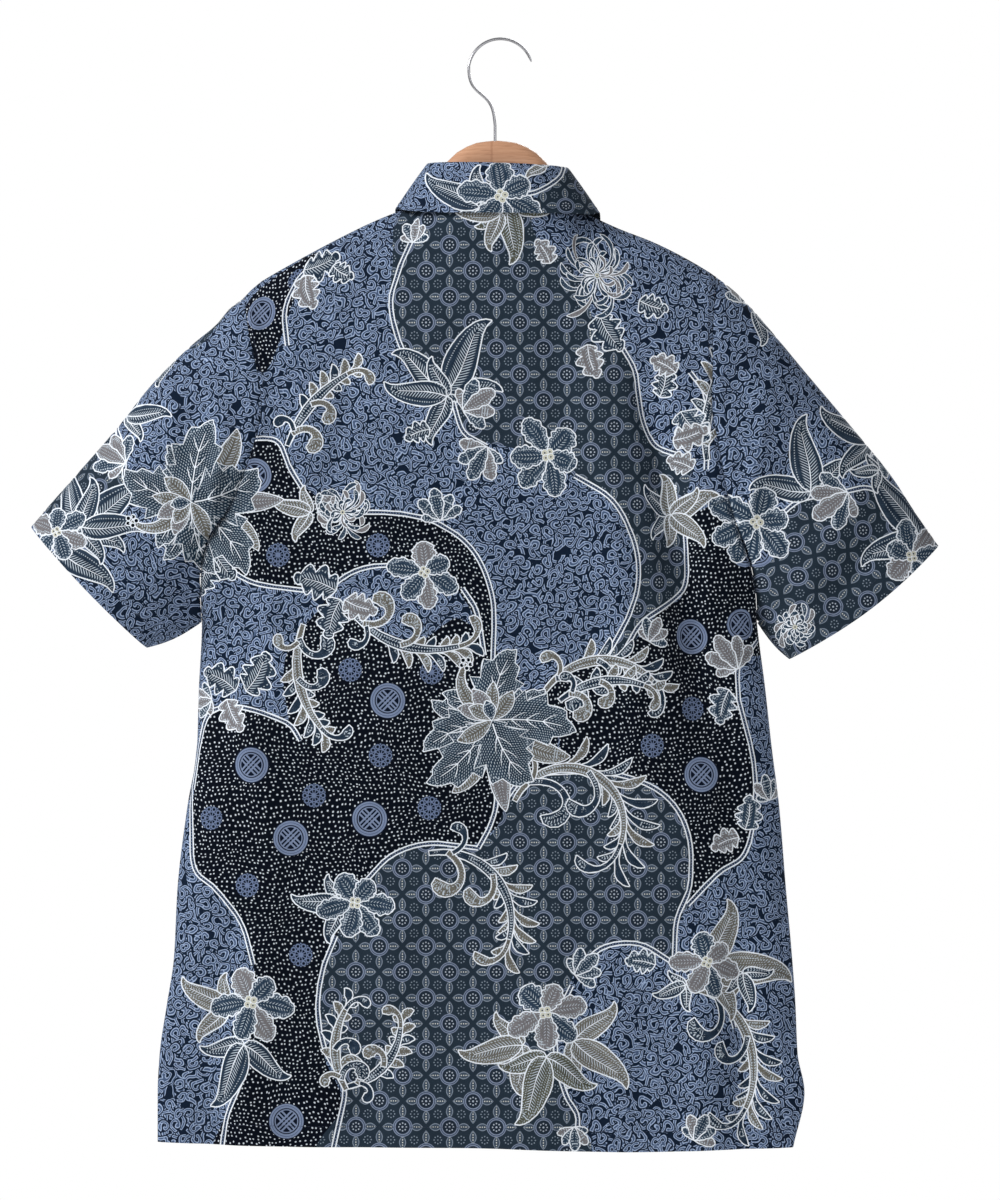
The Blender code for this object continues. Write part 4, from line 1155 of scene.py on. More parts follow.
def node(tree, kind, *inputs, **settings):
    made = tree.nodes.new("ShaderNode" + kind)
    for name, value in settings.items():
        setattr(made, name, value)
    for socket, value in zip(made.inputs, inputs):
        if isinstance(value, Wire):
            tree.links.new(value.socket, socket)
        elif value is not None:
            socket.default_value = value
    return made


def dial(made, settings):
    for name, value in settings.items():
        made.inputs[name].default_value = value


def ink(red, green, blue):
    """A colour given as it looks, on a scale of 255, as light."""
    shares = [value / 255.0 for value in (red, green, blue)]
    return (*[v / 12.92 if v < 0.04045 else ((v + 0.055) / 1.055) ** 2.4 for v in shares], 1.0)


def blended(share, one, two):
    tree = share.tree
    made = tree.nodes.new("ShaderNodeMix")
    made.data_type = "RGBA"
    made.clamp_factor = True
    for socket, value in zip((made.inputs[0], made.inputs[6], made.inputs[7]), (share, one, two)):
        if isinstance(value, Wire):
            tree.links.new(value.socket, socket)
        else:
            socket.default_value = value
    return Wire(tree, made.outputs[2])


def places(tree, layer):
    """The two coordinates that a layer of the mesh holds, in millimetres."""
    made = node(tree, "UVMap", uv_map=layer)
    parts = node(tree, "SeparateXYZ", Wire(tree, made.outputs[0]))
    return Wire(tree, parts.outputs[0]) * 1000.0, Wire(tree, parts.outputs[1]) * 1000.0


def vector(x, y, z=0.0):
    return Wire(x.tree, node(x.tree, "CombineXYZ", x, y, z).outputs[0])


def hypot(x, y):
    return (x * x + y * y).math("SQRT")


def speckle(x, y, size, detail=2.0):
    tree = x.tree
    made = node(tree, "TexNoise", vector(x / size, y / size), noise_dimensions="2D")
    dial(made, {"Scale": 1.0, "Detail": detail})
    return Wire(tree, made.outputs[0])


def cells(x, y, size, loose, shift=0.0):
    """Offset from the nearest of scattered points about a size apart, and that point's chances."""
    tree = x.tree
    x = x / size + shift
    y = y / size + shift * 0.7
    made = node(tree, "TexVoronoi", vector(x, y), voronoi_dimensions="2D")
    dial(made, {"Scale": 1.0, "Randomness": loose})
    spot = node(tree, "SeparateXYZ", Wire(tree, made.outputs["Position"]))
    chance = node(tree, "SeparateColor", Wire(tree, made.outputs["Color"]))
    off_x = (x - Wire(tree, spot.outputs[0])) * size
    off_y = (y - Wire(tree, spot.outputs[1])) * size
    return off_x, off_y, [Wire(tree, output) for output in chance.outputs[:3]]


def new_group(name, *sockets):
    """A node group, its input wires in order and a function that sets its outputs."""
    tree = bpy.data.node_groups.new(name, "ShaderNodeTree")
    for socket, way, kind in sockets:
        tree.interface.new_socket(socket, in_out=way, socket_type="NodeSocket" + kind)
    start = tree.nodes.new("NodeGroupInput")
    end = tree.nodes.new("NodeGroupOutput")

    def put_out(*wires):
        for wire, socket in zip(wires, end.inputs):
            tree.links.new(wire.socket, socket)

    return tree, [Wire(tree, output) for output in start.outputs[:-1]], put_out


def cotton_group():
    """Colour with the unevenness of dye on worn cotton, and the height of its plain weave."""
    given = ("Color", "OUTPUT", "Color"), ("Height", "OUTPUT", "Float")
    tree, (colour,), put_out = new_group("worn_cotton", ("Color", "INPUT", "Color"), *given)
    x, y = places(tree, "cloth")
    thread = 0.42
    weave = (x * (math.pi / thread)).math("SINE") * (y * (math.pi / thread)).math("SINE")
    cloudy = speckle(x, y, 26.0, 3.0)
    fine = speckle(x, y, 0.9, 2.0)
    worn = (cloudy - 0.5) * 0.34 + (fine - 0.5) * 0.5 + 1.0
    bright = node(tree, "VectorMath", colour, operation="MULTIPLY")
    tree.links.new(vector(worn, worn, worn).socket, bright.inputs[1])
    creased = speckle(x, y, 7.0, 3.0)
    put_out(Wire(tree, bright.outputs[0]), weave * 0.06 + creased * 0.5 + fine * 0.08)
    return tree


COTTON = cotton_group()


def new_material(name, settings):
    """A material, its node tree and its shader with these settings."""
    material = bpy.data.materials.new(name)
    material.use_nodes = True
    shader = material.node_tree.nodes["Principled BSDF"]
    dial(shader, settings)
    return material, material.node_tree, shader


MATT_COTTON = {
    "Roughness": 0.88,
    "Specular IOR Level": 0.05,
    "Sheen Weight": 0.02,
    "Sheen Roughness": 0.5,
}


def cloth_material(name, painted):
    """A material whose colour painted gives, on worn cotton."""
    material, tree, shader = new_material(name, MATT_COTTON)
    cotton = node(tree, "Group", node_tree=COTTON)
    colour = painted(tree)
    if isinstance(colour, Wire):
        tree.links.new(colour.socket, cotton.inputs[0])
    else:
        cotton.inputs[0].default_value = colour
    bump = node(tree, "Bump")
    dial(bump, {"Strength": 0.5, "Distance": 0.0006})
    tree.links.new(cotton.outputs["Height"], bump.inputs["Height"])
    tree.links.new(cotton.outputs["Color"], shader.inputs["Base Color"])
    tree.links.new(bump.outputs["Normal"], shader.inputs["Normal"])
    return material


WAX_WHITE = ink(226, 232, 240)
PALE_BLUE = ink(142, 158, 188)


def curls(tree):
    """Hooked, ball-ended tendrils that branch from wavy stems and fill the ground."""
    x, y = places(tree, "cloth")
    bend_x = (speckle(x, y, 9.0, 0.0) - 0.5) * 4.0
    bend_y = (speckle(x + 60.0, y - 35.0, 9.0, 0.0) - 0.5) * 4.0
    x = x + bend_x
    y = y + bend_y
    ground, edge, core = ink(16, 29, 47), ink(154, 172, 203), ink(68, 85, 113)
    colour = ground
    # Columns: size, shift, share of them left out, half width of the stems that link them.
    layers = ((13.0, 8.4, 0.1, 1.1), (11.6, 2.1, 0.0, -9.0), (10.6, 5.3, 0.4, -9.0))
    for size, shift, spare, stem in layers:
        off_x, off_y, chance = cells(x, y, size, 0.8, shift)
        spot = vector(x / size + shift, y / size + shift * 0.7)
        net = node(tree, "TexVoronoi", spot, voronoi_dimensions="2D", feature="DISTANCE_TO_EDGE")
        dial(net, {"Scale": 1.0, "Randomness": 0.8})
        way = chance[1] * (2.0 * math.pi)
        cosine, sine = way.math("COSINE"), way.math("SINE")
        along = off_x * cosine + off_y * sine
        across = (off_y * cosine - off_x * sine) * (chance[0] - 0.5).math("SIGN")
        bow = size * 0.26
        turn = (across.math("ARCTAN2", along) / (2.0 * math.pi)).math("FRACT")
        hook = abs(hypot(along, across) - bow) - 1.2 + (-turn).below(-0.7, 0.01) * 9.0
        tail = (abs(along - bow) - 1.2).either(across).either(-across - size * 0.5)
        ball = hypot(along + bow * 0.31, across + bow * 0.95) - 1.6
        gap = hook.both(tail).both(ball) + chance[2].below(spare, 0.01) * 9.0
        gap = gap.both(Wire(tree, net.outputs["Distance"]) * size - stem)
        for limit, tint in ((1.2, ground), (0.0, edge), (-0.6, core)):
            colour = blended(gap.below(limit, 0.2), colour, tint)
    return colour


def ceplok(tree):
    """Rings on a lattice, with pointed ovals between them and stars of dots in the gaps."""
    x, y = places(tree, "cloth")
    step_x = 19.3
    step_y = 21.3
    one = ((x / step_x + y / step_y) * 0.5)
    two = ((x / step_x - y / step_y) * 0.5)
    ring_x = abs(one.off_step(1.0) + two.off_step(1.0))
    ring_y = abs(one.off_step(1.0) - two.off_step(1.0))
    away = hypot(ring_x * step_x, ring_y * step_y)
    colour = ink(36, 48, 60)
    line = ink(122, 134, 158)
    for along, across in ((ring_x, ring_y), (ring_y, ring_x)):
        middle = (along - 0.6) / 0.27
        oval = (across - (-(middle * middle) + 1.0) * 0.15) * 20.0
        colour = blended(oval.below(0.0), colour, ink(122, 134, 150))
        colour = blended(oval.below(-0.75), colour, ink(62, 75, 90))
        dot = hypot((along - 0.6).off_step(0.1) * 20.0, across * 20.0)
        colour = blended(dot.below(0.5).both(oval.below(-1.2)), colour, ink(206, 208, 204))
    star_x = (ring_x - 0.5) * step_x
    star_y = (ring_y - 0.5) * step_y
    turn = star_y.math("ARCTAN2", star_x) / (2.0 * math.pi)
    dot = hypot(hypot(star_x, star_y) - 3.0, turn.off_step(1.0 / 8.0) * (2.0 * math.pi * 3.0))
    colour = blended(dot.either(0.0).below(0.55), colour, ink(128, 141, 156))
    colour = blended(hypot(star_x, star_y).below(0.6), colour, ink(110, 122, 136))
    for limit, tint in ((8.1, line), (7.4, ink(52, 66, 84)), (6.7, line), (5.8, ink(30, 41, 54))):
        colour = blended(away.below(limit), colour, tint)
    turn = (ring_y * step_y).math("ARCTAN2", ring_x * step_x) / (2.0 * math.pi)
    for reach, count, size in ((3.1, 8.0, 0.62), (0.0, 1.0, 0.8)):
        aside = turn.off_step(1.0 / count) * (2.0 * math.pi * reach)
        colour = blended(hypot(away - reach, aside).below(size), colour, ink(166, 176, 190))
    return colour


def dots(tree):
    """Near-black ground with small white dots in wandering rows."""
    x, y = places(tree, "cloth")
    x = x + (speckle(x, y, 40.0, 0.0) - 0.5) * 9.0
    y = y + (speckle(x + 90.0, y, 40.0, 0.0) - 0.5) * 9.0
    x = x + y * 0.35
    off_x, off_y, chance = cells(x, y, 3.7, 0.55)
    dot = hypot(off_x - off_y * 0.35, off_y) - chance[0] * 0.12
    return blended(dot.below(0.56, 0.35), ink(5, 11, 22), ink(204, 212, 222))


def stem_core(tree):
    along, across = places(tree, "figure")
    dot = hypot(along.off_step(2.4), across)
    return blended(dot.below(0.35), ink(40, 54, 76), PALE_BLUE)


def medallion(tree):
    """Rings about a woven knot."""
    x, y = places(tree, "figure")
    away = hypot(x, y)
    dark = ink(10, 18, 34)
    lit = ink(116, 130, 158)
    one = (x + y) * 0.707
    two = (x - y) * 0.707
    colour = dark
    for along in (one, two):
        knot = abs(along).below(3.9)
        colour = blended(abs(along.off_step(2.9)).below(0.75) * knot, colour, lit)
        colour = blended(abs(along.off_step(2.9, 0.5)).below(0.3) * knot, colour, dark)
    rings = ((8.9, lit), (9.8, dark), (10.7, lit), (12.3, ink(74, 88, 116)), (12.8, lit))
    for limit, tint in (*rings, (14.2, dark)):
        colour = blended(away.below(limit), tint, colour)
    return colour


def rosette(tree):
    """A lacy round flower of looped petals about a small square."""
    x, y = places(tree, "figure")
    away = hypot(x, y)
    dark = ink(10, 18, 32)
    lit = ink(104, 119, 150)
    turn = y.math("ARCTAN2", x) / (2.0 * math.pi)
    aside = turn.off_step(1.0 / 10.0) * (2.0 * math.pi)
    loop = hypot(away - 7.4, aside * 7.4)
    colour = blended(abs(loop - 1.7).below(0.5), dark, lit)
    colour = blended(abs(away - 5.0).below(0.45), colour, lit)
    tip = hypot(away - 9.5, turn.off_step(0.1, 0.5) * (2.0 * math.pi * 9.5))
    colour = blended(tip.below(0.7), colour, lit)
    colour = blended(abs(aside * away).below(0.35).both(away.below(4.8)), colour, lit)
    return blended(abs(x).either(abs(y)).below(1.9), colour, lit)


def veined(dark, light, barbs, dotted):
    """A figure with slanting dashes from its line, hatching beyond them and dots along its edge.
    barbs is how far out the dashes reach, dotted is how far out rows of dots begin."""

    def painted(tree):
        along, across = places(tree, "figure")
        rim, _ = places(tree, "rim")
        side = abs(across)
        share = side / (side + rim + 0.3)
        pale = ink(188, 200, 212)
        shade = share * 0.4 + (speckle(along, across, 7.0) - 0.5) * 0.8
        colour = blended(shade, dark, light)
        hatch = abs((along - side * 0.9).off_step(1.7)).below(0.3, 0.25)
        colour = blended(hatch * share.math("GREATER_THAN", barbs) * 0.75, colour, dark)
        slant = (along - side * 0.8).off_step(2.5)
        barb = abs(slant).below(0.38, 0.25) * (share - barbs).below(0.0, 0.15)
        barb = barb * (-side).below(-0.7, 0.2)
        colour = blended(barb * min(1.0, 0.6 + barbs), colour, pale)
        row = (along - side * 0.7 + speckle(along, across, 9.0, 0.0) * 3.0).off_step(2.3)
        dot = hypot(row, side.off_step(1.9)).below(0.52, 0.3) * share.math("GREATER_THAN", dotted)
        colour = blended(dot * 0.75, colour, pale)
        bead = hypot(along.off_step(2.2), rim - 1.35)
        return blended(bead.below(0.5, 0.3) * 0.9, colour, pale)

    return painted


def grain(tree):
    x, y = places(tree, "figure")
    return blended(hypot(x, y).below(0.7), ink(196, 196, 182), ink(40, 52, 72))


PLAIN = "curls"
PAINTS = {
    name: cloth_material(name, painted)
    for name, painted in {
        "curls": curls,
        "ceplok": ceplok,
        "dots": dots,
        "wax": lambda tree: WAX_WHITE,
        "stem_core": stem_core,
        "medallion": medallion,
        "rosette": rosette,
        "flower": veined(ink(24, 42, 58), ink(62, 84, 104), 0.0, 0.0),
        "slate": veined(ink(34, 52, 70), ink(82, 100, 122), 0.3, 0.55),
        "taupe": veined(ink(108, 106, 110), ink(146, 144, 144), 0.3, 0.55),
        "leaf_slate": veined(ink(24, 38, 54), ink(66, 84, 104), 0.5, 2.0),
        "leaf_warm": veined(ink(94, 92, 86), ink(134, 130, 118), 0.4, 0.45),
        "leaf_olive": veined(ink(72, 74, 64), ink(112, 112, 92), 0.4, 0.45),
        "grain": grain,
    }.items()
}


def solid_places(tree):
    """The place in space, in millimetres."""
    coords = Wire(tree, node(tree, "TexCoord").outputs["Object"])
    return [Wire(tree, out) * 1000.0 for out in node(tree, "SeparateXYZ", coords).outputs]


def hard_material(name, painted, roughness, metallic=0.0, grained=0.0):
    """A hard finish: its colour from the shader, with fine wear in its gloss."""
    settings = {"Metallic": metallic, "Coat Weight": 0.1 if grained else 0.0}
    material, tree, shader = new_material(name, settings)
    tree.links.new(painted(tree).socket, shader.inputs["Base Color"])
    x, y, z = solid_places(tree)
    wear = speckle(x * (0.1 if grained else 1.0), z + y, 2.5, 3.0)
    tree.links.new((wear * 0.16 + (roughness - 0.08)).socket, shader.inputs["Roughness"])
    if grained:
        bump = node(tree, "Bump")
        dial(bump, {"Strength": grained, "Distance": 0.0001})
        tree.links.new(wear.socket, bump.inputs["Height"])
        tree.links.new(bump.outputs["Normal"], shader.inputs["Normal"])
    return material


# ---- The print's layout ----
# Flowers, sprays, scrolls and filled grounds in white wax on indigo, laid over the whole cloth.
# The tables give them as they lie on the shirt's back, in millimetres from the hanger's hook.

# Every kind of figure, in the order that it's drawn.
BACK_PRINT = {}
# Columns: paint, corners of its edge.
BACK_PRINT["grounds"] = (
    ("ceplok", (
        (-81, -126), (-86, -185), (-87, -220), (-79, -253), (-64, -275), (-42, -291), (-32, -318),
        (-14, -331), (36, -343), (60, -359), (93, -380), (111, -413), (116, -445), (108, -474),
        (93, -507), (93, -523), (103, -521), (114, -495), (130, -474), (150, -466), (160, -445),
        (160, -396), (167, -355), (153, -340), (134, -335), (124, -318), (118, -294), (114, -273),
        (103, -251), (85, -253), (77, -224), (60, -185), (40, -175), (29, -154), (26, -126),
    )),
    ("dots", (
        (-214, -331), (-182, -331), (-171, -355), (-137, -382), (-79, -390), (-46, -399),
        (-18, -422), (-3, -462), (0, -503), (19, -544), (52, -544), (40, -618), (7, -642),
        (-22, -664), (-55, -661), (-86, -671), (-110, -696), (-124, -728), (-137, -764),
        (-143, -798), (-141, -839), (-128, -872), (-137, -925), (-230, -925), (-225, -888),
        (-210, -855), (-202, -806), (-200, -757), (-210, -728), (-231, -700), (-251, -682),
        (-256, -642), (-251, -593), (-239, -554), (-210, -550), (-173, -562), (-175, -536),
        (-173, -507), (-157, -482), (-141, -462), (-161, -453), (-198, -448), (-223, -434),
        (-251, -417), (-251, -380),
    )),
    ("dots", (
        (40, -618), (52, -577), (36, -544), (52, -519), (93, -511), (118, -491), (138, -468),
        (159, -458), (161, -417), (167, -392), (241, -380), (241, -495), (208, -511), (204, -544),
        (214, -593), (214, -634), (206, -667), (183, -685), (159, -708), (160, -667), (150, -632),
        (126, -611), (85, -603),
    )),
    ("curls", (
        (-137, -454), (-120, -440), (-100, -434), (-79, -433), (-46, -439), (-26, -462),
        (-14, -486), (-34, -477), (-63, -495), (-91, -488), (-120, -472),
    )),
    ("ceplok", (
        (-83, -669), (-55, -663), (-22, -665), (-1, -650), (9, -626), (23, -608), (52, -603),
        (85, -603), (118, -611), (141, -624), (155, -650), (160, -683), (159, -708), (147, -732),
        (144, -757), (126, -749), (105, -743), (85, -747), (68, -761), (60, -778), (50, -802),
        (49, -839), (57, -868), (67, -888), (62, -925), (-137, -925), (-127, -880), (-124, -860),
        (-141, -835), (-148, -798), (-143, -769), (-132, -741), (-120, -708), (-104, -685),
    )),
    ("dots", (
        (-214, -216), (-165, -176), (-153, -185), (-168, -216), (-178, -249), (-192, -275),
        (-214, -253),
    )),
)
# Columns: paint, x, y, radius.
BACK_PRINT["rounds"] = (
    ("medallion", -199, -360, 14.5), ("medallion", -89, -544, 15), ("medallion", -202, -597, 15.5),
    ("medallion", -169, -657, 15), ("medallion", -104, -641, 15.5), ("medallion", -173, -890, 15),
    ("medallion", 166, -492, 15), ("medallion", 169, -605, 15.5), ("medallion", -197, -226, 14),
    ("medallion", 214, -421, 14), ("rosette", -179, -425, 10), ("rosette", -97, -417, 10),
    ("rosette", -120, -519, 10), ("rosette", -53, -521, 10), ("rosette", -95, -589, 10),
    ("rosette", -55, -632, 10), ("rosette", -150, -622, 10), ("rosette", -205, -696, 10),
    ("rosette", -161, -753, 10), ("rosette", 164, -551, 10.5), ("rosette", 128, -581, 10),
    ("rosette", -237, -641, 10), ("rosette", -168, -198, 9), ("medallion", 210, -482, 13),
)
# Points along each double line.
BACK_PRINT["stems"] = (
    ((-71, -163), (-82, -195), (-87, -220), (-79, -253), (-63, -277), (-41, -295)),
    ((-36, -298), (-27, -324), (-8, -336)),
    ((64, -360), (95, -380), (113, -413), (117, -445), (109, -474), (91, -507)),
    ((101, -251), (114, -273), (118, -294), (124, -318), (136, -336), (159, -344)),
    ((161, -392), (163, -429), (159, -454), (138, -468), (118, -482), (103, -507)),
    ((-214, -331), (-182, -331), (-169, -355), (-153, -380)),
    ((-118, -390), (-79, -391), (-46, -400), (-18, -423), (-3, -462), (-3, -511)),
    ((-251, -417), (-223, -435), (-198, -448), (-157, -454)),
    ((-141, -455), (-120, -440), (-100, -434), (-75, -433)),
    ((-28, -452), (-16, -472), (-10, -507)),
    ((-256, -618), (-251, -581), (-239, -554), (-210, -550), (-173, -562), (-161, -577)),
    ((-263, -577), (-256, -642), (-251, -682), (-231, -700), (-210, -728), (-200, -761)),
    ((-206, -831), (-210, -855), (-223, -887), (-228, -925)),
    ((-15, -665), (-55, -661), (-86, -671), (-108, -693)),
    ((-3, -601), (0, -626), (-5, -646), (-15, -665)),
    ((7, -626), (27, -606), (85, -603), (122, -612), (146, -630), (159, -659), (159, -696),
     (148, -724), (146, -757)),
    ((-132, -737), (-143, -765), (-147, -798), (-141, -831), (-126, -860), (-128, -884), (-137, -925)),
    ((157, -712), (183, -686), (205, -671), (214, -636), (214, -593), (204, -544)),
    ((144, -759), (118, -744), (89, -746), (68, -763)),
    ((62, -778), (50, -805), (49, -839), (57, -868), (67, -888), (62, -925)),
    ((-172, -253), (-175, -224), (-168, -199), (-157, -185)),
    ((178, -355), (173, -298), (159, -275)),
    ((204, -544), (206, -515), (228, -495)),
    ((167, -778), (190, -790), (200, -814)),
)
# Columns: x, y, heading, length, bend, fingers, paint, other paint.
BACK_PRINT["scrolls"] = (
    (-172, -335, 70, 78, -40, 6, "leaf_warm", "leaf_slate"),
    (-159, -482, -110, 90, 60, 7, "leaf_slate", "leaf_warm"),
    (-118, -472, -50, 97, 65, 7, "leaf_warm", "leaf_slate"),
    (40, -536, 55, 102.5, -100, 7, "leaf_slate", "leaf_warm"),
    (15, -626, 65, 143.5, -175, 9, "leaf_slate", "leaf_warm"),
    (-55, -669, 10, 115, -115, 8, "leaf_warm", "leaf_slate"),
    (-124, -862, 10, 72, 75, 6, "leaf_warm", "leaf_slate"),
    (-124, -864, 120, 69.5, -60, 5, "leaf_slate", "leaf_warm"),
    (167, -782, -15, 123, -105, 8, "leaf_slate", "leaf_warm"),
    (178, -347, 105, 94.5, -50, 6, "leaf_warm", "leaf_slate"),
    (52, -544, 40, 74, -60, 5, "leaf_warm", "leaf_slate"),
)
# Columns: x, y, heading, size, paint.
BACK_PRINT["sprays"] = (
    (-41, -292, 78, 72, "leaf_slate"), (-41, -295, 187, 54, "leaf_slate"),
    (-153, -390, 178, 34.5, "leaf_warm"), (-128, -712, 188, 42.5, "leaf_slate"),
    (-225, -798, 165, 46, "leaf_warm"), (-208, -827, -100, 60.5, "leaf_slate"),
    (9, -137, -68, 51, "leaf_olive"), (64, -824, -22, 60.5, "leaf_warm"),
    (21, -827, 205, 54, "leaf_warm"), (41, -837, -95, 62.5, "leaf_olive"),
    (177, -764, 10, 75.5, "leaf_warm"), (150, -392, 158, 37.5, "leaf_slate"),
    (150, -392, 40, 44.5, "leaf_warm"), (150, -392, -22, 41, "leaf_warm"),
    (206, -769, -60, 33, "leaf_slate"), (155, -778, 215, 28, "leaf_slate"),
    (3, -145, 190, 41, "leaf_warm"),
)
# Columns: x, y, heading, size, paint.
BACK_PRINT["oaks"] = (
    (44, -185, 120, 21.5, "taupe"), (85, -228, -60, 34.5, "leaf_slate"),
    (75, -253, -75, 28, "taupe"), (118, -216, -20, 24.5, "leaf_slate"),
    (-132, -454, 160, 36, "leaf_slate"), (-128, -462, -110, 33, "leaf_slate"),
    (-124, -462, -20, 28, "taupe"), (-206, -536, 60, 36, "leaf_slate"),
    (-217, -536, 150, 33, "leaf_slate"), (-225, -544, -60, 29.5, "taupe"),
    (-164, -190, 20, 33, "leaf_slate"), (-161, -195, -70, 29.5, "taupe"),
    (-55, -322, 200, 21.5, "leaf_slate"), (-137, -187, -30, 21.5, "leaf_slate"),
    (136, -295, 80, 24.5, "leaf_slate"), (147, -275, 150, 23, "taupe"),
    (154, -308, -45, 33, "slate"), (150, -331, 20, 28, "taupe"),
    (167, -354, 160, 23, "taupe"), (196, -536, -110, 29.5, "slate"),
    (200, -657, 200, 24.5, "taupe"), (206, -650, 80, 28, "slate"),
    (130, -761, 170, 24.5, "slate"), (-233, -417, -60, 33, "leaf_slate"),
    (-232, -429, -120, 33, "leaf_slate"),
)
# Columns: x, y, heading, size, paint, other paint.
BACK_PRINT["sprigs"] = (
    (-71, -167, 85, 18, "taupe", "slate"),
    (-46, -396, 100, 24.5, "slate", "slate"),
    (-27, -306, 30, 28, "taupe", "slate"),
    (-8, -337, -120, 28, "slate", "taupe"),
    (65, -769, 40, 23, "slate", "slate"),
    (64, -895, -90, 18, "slate", "taupe"),
    (204, -518, 120, 29.5, "taupe", "taupe"),
    (126, -495, 60, 19.5, "taupe", "slate"),
    (-146, -388, 10, 21.5, "slate", "taupe"),
    (228, -626, 100, 19.5, "slate", "taupe"),
    (-239, -544, 190, 19.5, "taupe", "slate"),
    (163, -905, 60, 21.5, "slate", "taupe"),
)
# Columns: x, y, heading, size, paint, other paint.
BACK_PRINT["orchids"] = (
    (42, -343, 12, 33, "slate", "slate"),
    (-59, -439, 60, 29.5, "slate", "taupe"),
    (-116, -710, 85, 31, "slate", "slate"),
    (40, -800, 100, 33, "taupe", "slate"),
    (-202, -792, 80, 34.5, "slate", "taupe"),
    (173, -759, 70, 29.5, "taupe", "slate"),
    (213, -398, 40, 33, "slate", "slate"),
)
# Columns: x, y, size, seed.
BACK_PRINT["chrysanthemums"] = (
    (83, -195, 37.5, 3), (-126, -390, 26, 8),
)
# Columns: x, y, heading, size.
BACK_PRINT["great_flowers"] = (
    (-4, -560, 0, 65.5), (-250, -382, 83, 65.5),
)

# What the sleeves and the collar show from behind.
LEFT_SLEEVE_PRINT = {
    "grounds": (
        ("ceplok", (
            (-383, -372), (-360, -355), (-333, -314), (-309, -331), (-304, -363), (-340, -402),
            (-364, -396),
        )),
    ),
    "stems": (
        ((-315, -318), (-306, -339), (-305, -363)),
        ((-358, -419), (-353, -409), (-340, -402)),
    ),
    "sprays": (
        (-342, -402, 48, 67, "leaf_slate"), (-358, -421, -18, 57.5, "leaf_slate"),
        (-305, -310, 18, 39.5, "leaf_slate"), (-340, -402, 15, 54, "leaf_slate"),
    ),
    "sprigs": (
        (-305, -349, 150, 28, "taupe", "slate"),
    ),
    "orchids": (
        (-361, -406, 120, 26, "slate", "taupe"),
    ),
    "great_flowers": (
        (-250, -382, 83, 65.5),
    ),
}
RIGHT_SLEEVE_PRINT = {
    "grounds": (
        ("ceplok", (
            (204, -429), (220, -404), (245, -381), (278, -373), (302, -369), (331, -392), (380, -429),
            (249, -527), (196, -495),
        )),
    ),
    "rounds": (
        ("medallion", 214, -421, 14),
    ),
    "stems": (
        ((220, -404), (245, -382), (261, -377)),
        ((286, -373), (306, -370), (331, -384), (346, -404)),
    ),
    "sprays": (
        (257, -373, 112, 65.5, "leaf_slate"), (348, -410, 140, 70.5, "leaf_slate"),
        (308, -331, 165, 51, "leaf_slate"), (314, -355, 200, 24.5, "leaf_slate"),
    ),
    "sprigs": (
        (287, -374, 215, 33, "taupe", "slate"),
        (203, -216, 80, 24.5, "slate", "taupe"),
    ),
    "orchids": (
        (213, -398, 40, 34.5, "slate", "slate"),
        (341, -426, 190, 29.5, "slate", "taupe"),
    ),
    "chrysanthemums": (
        (245, -484, 18, 5),
    ),
}
COLLAR_PRINT = {
    "grounds": (
        ("ceplok", (
            (56, -93), (52, -114), (36, -127), (32, -138), (26, -152), (118, -154), (85, -93),
        )),
    ),
    "stems": (
        ((57, -93), (53, -113), (36, -126), (19, -131)),
    ),
    "sprays": (
        (-14, -140, 166, 54, "leaf_slate"), (40, -105, 150, 24.5, "leaf_warm"),
    ),
    "orchids": (
        (4, -131, 62, 34.5, "slate", "slate"),
    ),
}


GROWN = {
    "scrolls": scroll,
    "sprays": spray,
    "oaks": oak,
    "sprigs": sprig,
    "orchids": orchid,
    "chrysanthemums": chrysanthemum,
    "great_flowers": great_flower,
}


def drawn_print(table):
    """The figures of a table, in millimetres, in the order that they're drawn."""
    figures = []
    for paint, points in table.get("grounds", ()):
        figures.append((paint, smooth_line(np.array(points, float), True), None, None))
    for paint, x, y, radius in table.get("rounds", ()):
        disc(figures, paint, np.array((x, y), float), radius)
    for points in table.get("stems", ()):
        stem(figures, np.array(points, float))
    for kind, shape in GROWN.items():
        for x, y, *rest in table.get(kind, ()):
            shape(figures, np.array((x, y), float), *rest)
    return figures


def moved(figures, change):
    """The figures with their points changed."""
    return [
        (paint, change(outline), None if line is None else change(line), widths)
        for paint, outline, line, widths in figures
    ]


# ---- The shirt's panels ----
# A back and two fronts that button down the middle, the left front over the right. Every panel is
# one layer of printed cotton, cut straight with a level hem.

FRONT_PRINT_MIDDLE = 40.0
FRONT_PRINT_ASIDE = 250.0
FRONT_PRINT_UP = 96.0
SLEEVE_GRAIN = 38.0


def finished(piece, replaced):
    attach(piece, "root")
    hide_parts(replaced)
    return piece


def onto(net, paper):
    """Carries points seen from behind to the paper of a net."""
    flat = net[..., [0, 2]].reshape(-1, 2)
    faces = net_faces(*net.shape[:2])
    change = paper.reshape(-1, 2) - flat
    return lambda points: points + carried(flat, faces, change, points)


